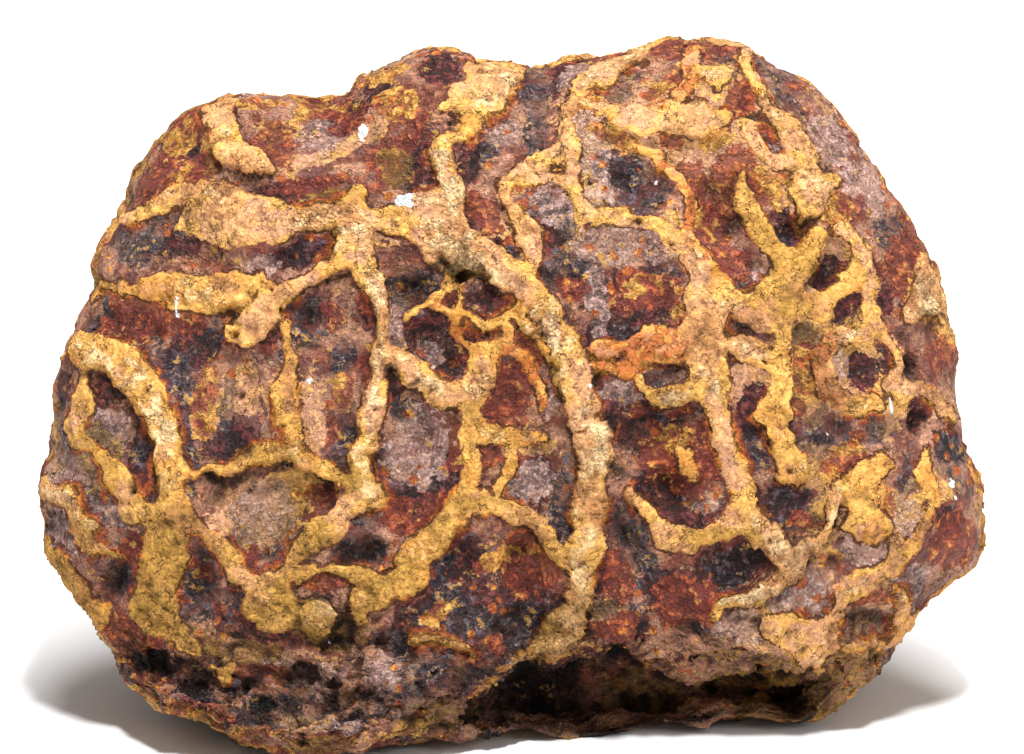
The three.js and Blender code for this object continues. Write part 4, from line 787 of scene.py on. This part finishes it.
def shapeBy(piece, tree, sizes):  # the piece's mesh becomes what the tree makes of it
    modifier = piece.modifiers.new(tree.name, "NODES")
    modifier.node_group = tree
    for socket in tree.interface.items_tree:
        if socket.name in sizes:
            modifier[socket.identifier] = float(sizes[socket.name])
    graph = bpy.context.evaluated_depsgraph_get()
    ready = piece.evaluated_get(graph)
    made = bpy.data.meshes.new_from_object(ready, preserve_all_data_layers=True, depsgraph=graph)
    piece.modifiers.clear()
    piece.data = made


# The stone's mesh, with what its finish needs kept on its points

stoneSkin = {
    "ragged": (0.8, 3.6),  # how far noise bends the edges of the veins, and its size, mm
    "lobes": (1.3, 9),  # the same for wider swells
    "veinUneven": (0.45, 6),  # share by which a vein's height wanders, and over what length
    "veinEdge": (-0.3, 0.4),  # from clay to cell
    "faceEdge": (0.05, 0.4),  # from the back's net to the face's own veins, by how far it faces forward
    "rimEdge": (0.1, 0.5),  # and from the calm rim to the full relief
    "footTop": (14, 34),  # the layers of the foot fade out between these heights
    "footRagged": (2.5, 9),  # which go up and down by this much, over this length
    "foldedFoot": (2.6, 8),  # depth, size
    "footBowls": (2.2, 7.5),
    "groove": (0.35, 0.7, 0.5),  # along the foot of each vein: depth, how far out, half width
    "pitDepth": 1.5,
    "pitBorder": (0.4, 1.2),  # where a pit starts to rise and where it ends, 1 on its radius
    "shelter": 0.3,  # share of the fine relief that the undercut loses
    "spill": (1, 0.15),  # clay runs out beyond a vein by this share of its half width past the first value
    "spread": (0.8, 7),  # and by this much more or less, over this length
    "stainFade": (0.45, 1.55),  # where a stain begins to fade and where it ends, 1 on its oval's line
    "stainScatter": (13, -0.1, 0.9),  # off the face: size, and where the noise begins and where it is full
    "tintScatter": (16, 0.1, 0.7),
    "crumblyScatter": (10, 0.15, 0.75),
    "elsewhere": {"darkAndShadow": 0, "moss": 0, "olive": 0.5},  # share of these stains off the face; the rest 1
    "duskTop": (26, 62),  # the clay is mossier, more crumbly and darker low at the left, the darkening being painted shade: it clears between these heights
    "duskRight": (0, 30),  # and from left to right between these
    "duskElsewhere": 0.4,
    "crumbShares": (0.03, 0.6, 0.6),  # how thick crumbs lie everywhere, on crumbly clay, on the foot
    "crumbsBehind": 0.3,  # share of them off the face
    "cavityRounds": 12,
}


def raggedness(points):
    (reach, size), (lobeReach, lobeSize) = stoneSkin["ragged"], stoneSkin["lobes"]
    ragged = reach * np.stack([roughness(points, size, seed, 4) for seed in (11, 21, 31)], axis=1)
    return ragged + lobeReach * np.stack([patchy(points, lobeSize, seed) for seed in (12, 22, 32)], axis=1)


def surveyOf(points, normals):  # what the relief and the stains both follow, at each point
    facing = smoothStep(normals[:, 2], *stoneSkin["faceEdge"])
    ragged = raggedness(points)
    bentU, bentV = (points + ragged)[:, :2].T
    faceGap, faceHalf, lift, stroke = nearestVein(bentU, bentV)
    backGap, backHalf = backVein(points + ragged)
    gap = blend(backGap, faceGap, facing)
    uneven, unevenSize = stoneSkin["veinUneven"]
    shelter = stoneSkin["shelter"] * facing * inUndercut(points[:, 0], points[:, 1])
    footWander, footSize = stoneSkin["footRagged"]
    lowTo = points[:, 1] + footWander * patchy(points, footSize, 5)
    return SimpleNamespace(
        points=points, facing=facing, ragged=ragged, bentU=bentU, bentV=bentV,
        faceGap=faceGap, faceHalf=faceHalf, backGap=backGap, backHalf=backHalf,
        gap=gap, stroke=stroke, vein=1 - smoothStep(gap, *stoneSkin["veinEdge"]),
        lift=lift * (1 + uneven * patchy(points, unevenSize, 17)),
        calm=blend(stoneForm["rimCalm"], 1, smoothStep(np.abs(normals[:, 2]), *stoneSkin["rimEdge"])),
        lowness=1 - smoothStep(lowTo, *stoneSkin["footTop"]), sheltered=1 - shelter,
    )


def mainRelief(at):  # veins, cells, hollows, ledges and swells
    u, v, t = at.points.T
    least, most, footSize = stoneForm["veinFoot"]
    foot = blend(least, most, smoothStep(patchy(at.points, footSize, 19), -0.3, 0.6))
    faceFoot = foot * np.clip(at.faceHalf / 2, 0.35, 1)
    face = veinHeight(at.faceGap, at.faceHalf, at.lift, faceFoot) - hollowDepth(u, v)
    face = face - ledgeDrop(at.bentU, at.bentV)
    (broadHeight, broadSize), (smallHeight, smallSize) = stoneForm["broadSwell"], stoneForm["smallSwell"]
    back = veinHeight(at.backGap, at.backHalf, stoneForm["backVeinLift"], foot)
    back = back + broadHeight * swells(u, v, t, broadSize)
    height = blend(back, face, at.facing) + smallHeight * swells(v, t, u, smallSize)
    return height * (at.calm * at.sheltered)


def fineRelief(at):  # folds and bowls of the foot, grooves and pits
    u, v, _ = at.points.T
    bent = at.points + 2 * at.ragged
    (foldDepth, foldSize), (bowlDepth, bowlSize) = stoneSkin["foldedFoot"], stoneSkin["footBowls"]
    folds = bent * (0.6, 1, 0.9) + 0.15 * np.stack((v, u, u), axis=1)
    folded = 0.35 - np.abs(roughness(folds, foldSize, 61, 4))
    onFoot = at.lowness * (1 - 0.7 * at.vein)
    fine = onFoot * foldDepth * folded
    fine += onFoot * bowlDepth * (scallops(bent * (0.85, 1, 1), bowlSize, 62) - 0.4)
    fine *= at.sheltered
    grooveDepth, grooveOut, grooveHalf = stoneSkin["groove"]
    fine -= grooveDepth * np.clip(at.lift, 0, 1) * np.exp(-((at.gap - grooveOut) / grooveHalf) ** 2)
    border = stoneSkin["pitBorder"]
    holes = [1 - smoothStep(ovalReach(u, v, atU, atV, size, size), *border) for atU, atV, size in pits]
    return fine - stoneSkin["pitDepth"] * at.facing * np.max(holes, axis=0)


def scatter(points, look, seed, octaves=2):  # patches all over, 0 to 1
    size, low, high = look
    return smoothStep(roughness(points, size, seed, octaves), low, high)


def stainOn(u, v, ovals):
    fade = stoneSkin["stainFade"]
    return np.max([1 - smoothStep(ovalReach(u, v, *oval), *fade) for oval in ovals], axis=0)


def stainMarks(at):
    marks = {}
    for seed, (name, ovals) in enumerate(stains.items()):
        share = stoneSkin["elsewhere"].get(name, 1)
        anywhere = scatter(at.points, stoneSkin["stainScatter"], 71 + 7 * seed)
        marks[name] = blend(share * anywhere, stainOn(at.bentU, at.bentV, ovals), at.facing)
    return marks


def tintMarks(at):
    marks, names = {}, list(veins)
    for name, strokes in tints.items():
        chosen = np.isin(at.stroke, [names.index(stroke) for stroke in strokes]).astype(float)
        anywhere = scatter(at.points, stoneSkin["tintScatter"], 131 + len(name))
        marks[name] = blend(anywhere, chosen, at.facing)
    return marks


def skinMarks(at):
    u, v, _ = at.points.T
    least, share = stoneSkin["spill"]
    spread, spreadSize = stoneSkin["spread"]
    spill = share * np.maximum(0, blend(at.backHalf, at.faceHalf, at.facing) - least)
    spill += spread * np.clip(at.faceHalf / 2.5, 0.2, 1) * patchy(at.points, spreadSize, 23)
    low, left = 1 - smoothStep(v, *stoneSkin["duskTop"]), 1 - smoothStep(u, *stoneSkin["duskRight"])
    dusk = blend(stoneSkin["duskElsewhere"], low * left, at.facing)
    crumbly = np.maximum(scatter(at.points, stoneSkin["crumblyScatter"], 91, 3), 0.6 * dusk)
    everywhere, onClay, onFoot = stoneSkin["crumbShares"]
    crumbs = everywhere + onClay * at.vein * crumbly ** 2 + onFoot * at.lowness
    crumbs *= blend(stoneSkin["crumbsBehind"], 1, at.facing)
    return {
        "gap": np.clip(at.gap - spill, -6, 9),
        "vein": at.vein,
        "lowness": at.lowness,
        "calm": at.sheltered,
        "dusk": dusk,
        "crumbly": crumbly,
        "crumbs": np.minimum(1, crumbs * at.sheltered),
        "fleck": stainOn(u, v, flecks) * at.facing,
        **stainMarks(at),
        **tintMarks(at),
    }


def standUpright(points):
    u, v, t = points.T
    turn = math.radians(90 - stoneForm["faceLean"])
    y = v * math.cos(turn) - t * math.sin(turn)
    z = v * math.sin(turn) + t * math.cos(turn) - stoneForm["footDrop"]
    x = u - (u.max() + u.min()) / 2
    shift = (y.max() + y.min()) / 2
    padX, padY, padRadius = stoneForm["restPad"]
    offPad = smoothStep(np.hypot(x - padX, y - shift - padY), padRadius, 2 * padRadius)
    soleHeight, soleSize = stoneForm["soleRelief"]
    sole = np.maximum(0, soleHeight * offPad * (0.35 + 2 * swells(x, y - shift, 0, soleSize)))
    return np.stack((x, y - shift, np.maximum(z, sole)), axis=1), shift


def meshObject(name, points, quads, marks):
    mesh = bpy.data.meshes.new(name)
    mesh.vertices.add(len(points))
    mesh.vertices.foreach_set("co", points.ravel())
    mesh.loops.add(quads.size)
    mesh.loops.foreach_set("vertex_index", quads.ravel())
    mesh.polygons.add(len(quads))
    mesh.polygons.foreach_set("loop_start", np.arange(0, quads.size, 4))
    mesh.update(calc_edges=True)
    mesh.validate()
    for mark, values in marks.items():
        mesh.attributes.new(mark, "FLOAT", "POINT").data.foreach_set("value", values)
    mesh.shade_smooth()
    made = bpy.data.objects.new(name, mesh)
    bpy.context.scene.collection.objects.link(made)
    return made


def tone(*seen):  # red, green and blue as seen on a screen, 0 to 255, made linear
    shares = [value / 255 for value in seen]
    linear = [share / 12.92 if share <= 0.04045 else ((share + 0.055) / 1.055) ** 2.4 for share in shares]
    return (*linear, 1)


stonePaint = {
    # the pale clay, also laid on raised tops of the clay as painted highlight
    "cream": tone(244, 207, 154),
    "tan": tone(217, 159, 101),
    "pinkTan": tone(205, 150, 115),
    "sand": tone(190, 134, 98),
    "yellow": tone(223, 167, 82),
    "gold": tone(200, 134, 50),
    "orange": tone(176, 86, 38),
    "red": tone(120, 50, 38),
    "rust": tone(124, 62, 44),
    "maroon": tone(100, 42, 42),
    # the darkest maroon of the cells, also laid in the hollows of the foot as painted shade
    "deepMaroon": tone(30, 10, 11),
    "plum": tone(104, 66, 66),
    "taupe": tone(176, 127, 102),
    "brown": tone(138, 84, 62),
    "slate": tone(90, 84, 92),
    "blueSlate": tone(22, 24, 34),
    "frost": tone(170, 136, 126),
    "dust": tone(214, 188, 172),
    "umber": tone(154, 102, 60),
    "moss": tone(178, 132, 60),
    "crack": tone(70, 34, 18),
    "olive": tone(140, 106, 44),
    "soil": tone(112, 70, 48),
    # black is laid on as painted shade in the deepest hollows, and over the last list of stain ovals
    "black": tone(8, 4, 4),
    "white": tone(240, 242, 242),
}

stoneNoises = {  # size of the blobs in mm, detail, roughness
    "wide": (15, 5, 0.6),
    "drift": (12, 2, 0.45),
    "other": (7.3, 5, 0.62),
    "turning": (6, 3, 0.5),
    "middle": (4.4, 5, 0.65),
    "small": (1.8, 4, 0.65),
    "fine": (0.7, 2, 0.6),
}


class StonePattern(NodeMaker):  # the noises and marks that the stone's colours and its bump share
    def __init__(self, tree):
        super().__init__(tree)
        self.place = self.add("ShaderNodeTexCoord", out="Object")
        for name, look in stoneNoises.items():
            setattr(self, name, self.noise(self.place, *look))
        self.broken = (self.middle + self.small - 1) * 1.7  # ragged at every size, round 0
        ragged = (self.middle - 0.5) * 2
        self.gap = self.mark("gap") + ragged + (self.small - 0.5) * 1.8 + (self.fine - 0.5) * 0.8
        self.dusk, self.cavity, self.lowness = self.mark("dusk"), self.mark("cavity"), self.mark("lowness")
        self.maroonHere, self.slateHere = self.stain("maroon"), self.stain("slate")
        self.oliveHere = self.stain("olive")
        self.vein = self.step(self.gap, 0.1, -0.15)
        crumbly = self.mark("crumbly") + self.mark("pale") * 0.5
        self.crumbly = crumbly * self.step(self.other, 0.44, 0.54, 0.3, 1)
        self.cracks = self.threads(5, 0.012) * self.step(self.middle, 0.48, 0.53)
        edge = self.step((self.gap - 0.15).size(), 0.4, 0.12)
        self.seam = edge * self.step(self.other - self.middle, -0.03, 0.02)  # along a vein's foot: a crack in the bump, and in colour the painted shadow line under the vein's edge

    def stain(self, name, low=0.27, high=0.4):  # a ragged patch of that name
        return self.step(self.mark(name) + self.broken, low, high)

    def threads(self, size, width):  # thin bent lines
        return self.step((self.noise(self.place, size, 4, 0.6) - 0.5).size(), width, width * 0.2)

    def dots(self, size, radius):  # small ragged spots
        near = self.seeds(self.place, size) + (self.small - 0.5) * 0.5
        return self.step(near, radius, radius * 0.75)


def cellColour(maker, paint):
    wide, other, middle, small, fine = maker.wide, maker.other, maker.middle, maker.small, maker.fine
    maroon = maker.mix(maker.step(small, 0.4, 0.62), paint["deepMaroon"], paint["maroon"])
    slate = maker.mix(maker.step(small, 0.44, 0.7), paint["blueSlate"], paint["slate"])
    slateShare = maker.slateHere * maker.step(middle + small * 0.6, 0.74, 0.86, 0.35, 0.95)
    sandy = maker.mix(maker.step(middle, 0.44, 0.56), paint["pinkTan"], paint["tan"])
    sandy = maker.mix(maker.step(wide + small * 0.5, 0.72, 0.82, 0, 0.9), sandy, paint["yellow"])
    clayHere = maker.stain("clay") * (1 - maker.maroonHere) * (1 - maker.slateHere * 0.7)
    frosted = maker.stain("pink")
    web = maker.threads(2.6, 0.05) * maker.step(middle, 0.46, 0.58, 0, 0.3)
    rust = maker.mix(maker.step(small, 0.5, 0.66, 0, 0.8), paint["red"], paint["orange"])
    golden = maker.mix(maker.step(small, 0.4, 0.6), paint["gold"], paint["yellow"])
    ochre = maker.mix(maker.step(middle, 0.44, 0.56), rust, golden)
    spots = maker.dots(3.6, 0.3) * maker.step(other, 0.5, 0.55)
    spotted = maker.mix(maker.step(small, 0.5, 0.58), paint["orange"], paint["gold"])
    return maker.coats(
        maker.mix(maker.step(other, 0.42, 0.56), paint["brown"], paint["taupe"]),
        (maker.step(middle + wide, 0.96, 1.12, 0, 0.8), paint["sand"]),
        (maker.step(small + other, 0.98, 0.84, 0, 0.75), paint["plum"]),
        (maker.step(wide - other, 0.05, 0.12, 0, 0.8), paint["rust"]),
        (maker.maroonHere * 0.95, maroon),
        (slateShare, slate),
        (clayHere * 0.92, sandy),
        (frosted * maker.step(small, 0.4, 0.6, 0.3, 0.8), paint["frost"]),
        (web, paint["frost"]),
        (maker.step(fine, 0.52, 0.7, 0, 0.5) * frosted, paint["dust"]),
        (maker.stain("rust") * 0.85, rust),
        (maker.stain("ochre") * 0.85, ochre),
        (maker.oliveHere * maker.step(small, 0.4, 0.56, 0.3, 0.75), paint["olive"]),
        (spots * 0.9, spotted),
    )


def clayColour(maker, paint):
    other, middle, small, fine = maker.other, maker.middle, maker.small, maker.fine
    drift, turning, gap, crumbly = maker.drift, maker.turning, maker.gap, maker.crumbly
    pinkness = maker.mark("pinkVein") * maker.step(turning, 0.35, 0.6, 0.2, 0.8)
    yellowness = maker.mark("yellow") * 0.2 + maker.step(gap, -2, -0.4, 0, 0.1)
    yellowness = yellowness + drift * 0.8 + turning * 0.8
    golden = maker.mix(maker.step(turning, 0.36, 0.6), paint["gold"], paint["yellow"])
    rusty = maker.mark("rusty") * maker.step(middle, 0.44, 0.56, 0.2, 0.8)
    pale = maker.mark("pale") * 0.25 + crumbly * 0.6 + (other - 0.5) * 2
    # Painted highlight: the clay turns cream on its raised tops
    pale = pale - maker.step(gap, -1.6, -0.3, 0, 0.5) + maker.step(maker.cavity, 0.2, 1.2, 0, 0.4)
    # Low at the left the clay is browned more: painted shade
    browned = drift + small * 0.4 - maker.dusk * 0.12
    mossy = maker.oliveHere.atLeast(maker.stain("moss"))
    specks = maker.step(fine, 0.42, 0.35) * maker.step(small, 0.52, 0.42)
    return maker.coats(
        maker.mix(maker.step(drift, 0.4, 0.6), paint["tan"], paint["pinkTan"]),
        (pinkness, paint["pinkTan"]),
        (maker.step(middle, 0.46, 0.3, 0, 0.6), paint["sand"]),
        (maker.step(small, 0.44, 0.3, 0, 0.4), paint["sand"]),
        (maker.step(yellowness + small * 0.3, 0.92, 1.18, 0, 0.9), golden),
        (rusty, paint["orange"]),
        (maker.step(pale + (small - 0.5) * 2.4, 0.35, 1, 0, 0.85), paint["cream"]),
        (maker.step(browned, 0.68, 0.5, 0, 0.65), paint["umber"]),
        (maker.dusk * maker.step(turning, 0.35, 0.6, 0.35, 0.85), paint["moss"]),
        (mossy * maker.step(turning, 0.3, 0.55, 0.5, 0.95), paint["moss"]),
        (specks * (crumbly * 0.5 + 0.06), paint["crack"]),
    )


def stoneColour(maker, paint):  # cells, then red, orange and gold rims, then the clay, what lies on it, and painted shade and shadow
    wide, other, middle, small, gap = maker.wide, maker.other, maker.middle, maker.small, maker.gap
    darkness = maker.maroonHere + maker.slateHere * (1 - maker.maroonHere)
    reach = maker.step(other - wide, -0.08, 0.1, 0.15, 2.1) * (darkness * 0.75 + 0.25)
    crackle = maker.threads(1.9, 0.02) * maker.step(wide, 0.52, 0.58)
    colour = maker.coats(
        cellColour(maker, paint),
        (maker.step(gap, reach, reach * 0.6, 0, 0.8), paint["red"]),
        (maker.step(gap, reach * 0.7, reach * 0.4, 0, 0.75), paint["orange"]),
        (maker.step(gap, reach * 0.4, reach * 0.2, 0, 0.85), paint["gold"]),
        (maker.vein, clayColour(maker, paint)),
        # Painted shadow line along the veins' feet, in the tone of the cracks
        (maker.seam * 0.8, paint["crack"]),
        (maker.cracks * 0.8, paint["crack"]),
        (crackle * 0.5, paint["crack"]),
    )
    cavity, lowness = maker.cavity, maker.lowness
    # Tone lighter on the highs of the fine bump and darker in its lows: the stone's grain, and painted
    # shade and highlight on the bump
    grainAndBumpShade = maker.step(maker.fine + small * 0.7, 0.6, 1.1, 0.8, 1.18)
    # Painted shade: the colour is darkened where the surface lies below its neighbours
    hollowShade = maker.step(cavity + (small - 0.5) * 0.8, -0.7, 0.3, 0.62, 1)
    soil = maker.mix(maker.step(small, 0.46, 0.56), paint["soil"], paint["olive"])
    # Black laid over the last list of stain ovals: near-black patches, and painted shadow under ledges, in
    # holes and over the undercut
    darkAndShadowHere = maker.stain("darkAndShadow", 0.3, 1.1) * (1 - maker.oliveHere * 0.6) * 0.85
    return maker.coats(
        maker.mix(1.0, colour, grainAndBumpShade * hollowShade, "MULTIPLY"),
        (lowness * maker.step(middle, 0.5, 0.4, 0, 0.4), soil),
        # Painted shade: deep maroon in the hollows of the foot
        (lowness * maker.step(cavity, 0.3, -0.9, 0, 0.75), paint["deepMaroon"]),
        # Painted shade: black in the deepest hollows
        (maker.step(cavity + (small - 0.5) * 1.6, -0.45, -1.5, 0, 0.85), paint["black"]),
        (darkAndShadowHere, paint["black"]),
        (maker.step(maker.mark("fleck") + (small - 0.5) * 0.7, 0.5, 0.6), paint["white"]),
    )


def stoneBump(maker):  # broken plates, chips and grain, cut by the cracks and the seams
    other, middle, small, fine = maker.other, maker.middle, maker.small, maker.fine
    vein, crumbly = maker.vein, maker.crumbly
    plates = maker.step(other, 0.5, 0.52) * 0.4 + maker.step(middle, 0.5, 0.53) * 0.3 + vein * 0.4
    chips = maker.step(small, 0.44, 0.56) * 0.3
    rugged = 1 - vein * (1 - crumbly) * 0.6
    grain = (chips + (middle - 0.5) * 1.6 + (small - 0.5) * 1.2) * rugged
    grain = grain + (fine - 0.5) * (crumbly * 1.1 + maker.lowness * 0.5 + 0.3)
    height = plates + grain - maker.cracks * 0.5 - maker.seam * 0.5
    return maker.add("ShaderNodeBump", None, {"Strength": 1.0, "Distance": 0.001, "Height": height})


def stoneFinish():
    material = bpy.data.materials.new("bauxite")
    material.use_nodes = True
    maker = StonePattern(material.node_tree)
    shader = maker.add("ShaderNodeBsdfPrincipled", None, {
        "Base Color": stoneColour(maker, stonePaint),
        "Roughness": maker.step(maker.gap + (maker.small - 0.5) * 3, 1.2, 3, 0.9, 0.55),
        "Normal": stoneBump(maker),
        "Specular IOR Level": 0.28,
    })
    maker.add("ShaderNodeOutputMaterial", None, {"Surface": shader})
    return material


# The fine relief of the stone, as a geometry tree; sizes in millimetres

reliefBend = (9, 5)  # size and reach of the noise that bends it

stoneRelief = {
    "Bowl depth": 1.1,  # bowls broken out of the cells
    "Bowl size": 6.5,
    "Cell grain": 1.6,
    "Plate height": 0.45,  # broken plates, mostly of the clay
    "Plate size": 8,
    "Small plate size": 4,
    "Clay grain": 0.5,
    "Foot grain": 2.2,
    "Grain size": 3,
}


def reliefTree(material):
    maker, geometry, size = surfaceTree("stone relief", stoneRelief)
    place = maker.add("GeometryNodeInputPosition")
    vein, lowness, calm, crumbly = (maker.mark(name) for name in ("vein", "lowness", "calm", "crumbly"))
    cell = 1 - vein
    bent = maker.bend(place, *reliefBend)
    bowls = (maker.seeds(bent, size["Bowl size"]) - 0.45) * size["Bowl depth"] * cell
    broad, narrow = (
        maker.step(maker.noise(bent, size[label], 4, 0.55), 0.49, 0.51) - 0.5
        for label in ("Plate size", "Small plate size")
    )
    plates = broad + narrow
    grain = maker.noise(bent, size["Grain size"], 5, 0.62) - 0.5
    share = size["Cell grain"] * cell + size["Clay grain"] * vein * (0.6 + crumbly * 3)
    share = share + size["Foot grain"] * lowness
    height = bowls + plates * size["Plate height"] * (0.35 + 0.65 * vein) + grain * share
    values = {0: maker.add("GeometryNodeInputNormal"), "Scale": height * calm * 0.001}
    offset = maker.add("ShaderNodeVectorMath", {"operation": "SCALE"}, values)
    raised = maker.add("GeometryNodeSetPosition", None, {"Geometry": geometry, "Offset": offset})
    return endTree(maker, raised, material)


def makeStone(material):
    directions, quads = wrappedGrid(stoneForm["cellsAlongSide"])
    directions = directions + (0, 0, stoneForm["frontCrowding"])
    directions /= np.linalg.norm(directions, axis=1)[:, None]
    points = plainForm(directions)
    normals = pointNormals(points, quads)
    at = surveyOf(points, normals)
    points = points + normals * mainRelief(at)[:, None]
    points += pointNormals(points, quads) * fineRelief(at)[:, None]
    points, shift = standUpright(points)
    marks = skinMarks(at)
    marks["calm"] *= smoothStep(points[:, 2], 1, 5)
    marks["crumbs"] *= smoothStep(points[:, 2], 1, 3)
    made = meshObject("stone_surface", points / 1000, quads, marks)
    shapeBy(made, reliefTree(material), stoneRelief)
    points = np.empty(3 * len(points))
    made.data.vertices.foreach_get("co", points)
    points = points.reshape(-1, 3) * 1000
    smoothed = neighbourMean(points, quads, stoneSkin["cavityRounds"])
    cavity = np.einsum("ij,ij->i", points - smoothed, pointNormals(points, quads))
    made.data.attributes.new("cavity", "FLOAT", "POINT").data.foreach_set("value", cavity)
    return made, shift / 1000


bauxite = stoneFinish()
stone, faceShift = makeStone(bauxite)
print("stone shaped:", len(stone.data.polygons), "faces")


# Crumbs and flakes bedded in the clay and on the foot

crumbSizes = {
    "Density": 0.5,  # to a square millimetre, where they lie thickest
    "Least size": 0.2,
    "Most size": 0.55,
    "Flatness": 0.4,
    "Roughness": 0.25,
    "Seed": 7,
}


def crumbTree(material):
    maker, geometry, size = surfaceTree("crumbs", crumbSizes)

    def random(low, high, later):
        values = {2: low, 3: high, "Seed": size["Seed"] + later}
        return maker.add("FunctionNodeRandomValue", {"data_type": "FLOAT"}, values, 1)

    density = size["Density"] * maker.mark("crumbs") * 1000000
    seeds = maker.add("GeometryNodeDistributePointsOnFaces", {"distribute_method": "RANDOM"}, {
        "Mesh": geometry, "Density": density, "Seed": size["Seed"],
    })
    spread = random(size["Least size"] / 1000, size["Most size"] / 1000, 1)
    scale = maker.add("ShaderNodeCombineXYZ", None, {
        0: spread * random(0.6, 1.5, 2), 1: spread, 2: spread * size["Flatness"] * 1.5,
    })
    turn = maker.add("FunctionNodeRandomValue", {"data_type": "FLOAT_VECTOR"}, {
        0: (-0.5, -0.5, -3.1), 1: (0.5, 0.5, 3.1), "Seed": size["Seed"] + 3,
    })
    facing = Wire(maker, seeds.socket.node.outputs["Rotation"])  # out of the surface
    turned = maker.add("FunctionNodeRotateRotation", {"rotation_space": "LOCAL"}, {0: facing, 1: turn})
    crumb = maker.add("GeometryNodeMeshIcoSphere", None, {"Radius": 1.0, "Subdivisions": 1})
    laid = maker.add("GeometryNodeInstanceOnPoints", None, {
        "Points": seeds, "Instance": crumb, "Rotation": turned, "Scale": scale,
    })
    whole = maker.add("GeometryNodeRealizeInstances", None, {"Geometry": laid})
    place = maker.add("GeometryNodeInputPosition")
    jitter = maker.add("ShaderNodeTexWhiteNoise", None, {"Vector": place}, "Color")
    shaken = maker.add("ShaderNodeVectorMath", {"operation": "SUBTRACT"}, {0: jitter, 1: (0.5, 0.5, 0.5)})
    values = {0: shaken, "Scale": size["Roughness"] / 1000}
    offset = maker.add("ShaderNodeVectorMath", {"operation": "SCALE"}, values)
    broken = maker.add("GeometryNodeSetPosition", None, {"Geometry": whole, "Offset": offset})
    return endTree(maker, broken, material)


crumbs = bpy.data.objects.new("crumbs", stone.data.copy())
bpy.context.scene.collection.objects.link(crumbs)
shapeBy(crumbs, crumbTree(bauxite), crumbSizes)
print("crumbs laid:", len(crumbs.data.polygons), "faces")


# Floor, light and camera

studio = {  # metres
    "floorSize": 6,
    "floorTone": (0.86, 0.86, 0.86, 1),
    "skyStrength": 0.34,
    "aimHeight": 0.06,
    "lamps": {  # place, size, watts
        "key": ((0.1, -0.6, 1.35), 0.2, 23.5),
        "top": ((0.1, 0.0, 1.5), 0.8, 26),
        "side": ((1.2, -0.7, 0.6), 0.6, 5),
    },
}
view = {  # metres
    "distance": 1.5,
    "frameWidth": 0.1969,
    "target": 0.0717,  # how far up the face the camera looks
}


def makeStudio():
    world = bpy.data.worlds.new("soft room")
    bpy.context.scene.world = world
    world.use_nodes = True
    world.node_tree.nodes["Background"].inputs["Strength"].default_value = studio["skyStrength"]
    world.node_tree.nodes["Background"].inputs["Color"].default_value = (1, 1, 1, 1)
    half = studio["floorSize"] / 2
    mesh = bpy.data.meshes.new("floor")
    corners = [(-half, -half, 0), (half, -half, 0), (half, half, 0), (-half, half, 0)]
    mesh.from_pydata(corners, [], [(0, 1, 2, 3)])
    floor = bpy.data.objects.new("floor", mesh)
    bpy.context.scene.collection.objects.link(floor)
    paint = bpy.data.materials.new("pale floor")
    paint.use_nodes = True
    shader = paint.node_tree.nodes["Principled BSDF"]
    shader.inputs["Base Color"].default_value = studio["floorTone"]
    shader.inputs["Roughness"].default_value = 0.9
    mesh.materials.append(paint)
    for name, (place, size, watts) in studio["lamps"].items():
        lamp = bpy.data.lights.new(name, "AREA")
        lamp.shape, lamp.size, lamp.energy = "DISK", size, watts
        holder = bpy.data.objects.new(name, lamp)
        holder.location = place
        toStone = Vector((0, 0, studio["aimHeight"])) - Vector(place)
        holder.rotation_euler = toStone.to_track_quat("-Z", "Y").to_euler()
        bpy.context.scene.collection.objects.link(holder)
    bpy.context.scene.view_settings.view_transform = "Standard"


def makeCamera():
    lean = math.radians(stoneForm["faceLean"])  # it looks squarely at the face
    up = Vector((0, math.sin(lean), math.cos(lean)))
    inward = Vector((0, math.cos(lean), -math.sin(lean)))
    target = up * view["target"] + Vector((0, -faceShift, -stoneForm["footDrop"] / 1000))
    camera = bpy.data.cameras.new("camera")
    camera.sensor_width = 36
    camera.lens = camera.sensor_width * view["distance"] / view["frameWidth"]
    camera.clip_end = 20
    holder = bpy.data.objects.new("camera", camera)
    holder.location = target - inward * view["distance"]
    holder.rotation_euler = inward.to_track_quat("-Z", "Y").to_euler()
    bpy.context.scene.collection.objects.link(holder)
    bpy.context.scene.camera = holder


makeStudio()
makeCamera()
print("room and camera set")

for piece in (stone, crumbs):
    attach(piece, "root")
    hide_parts("stone")
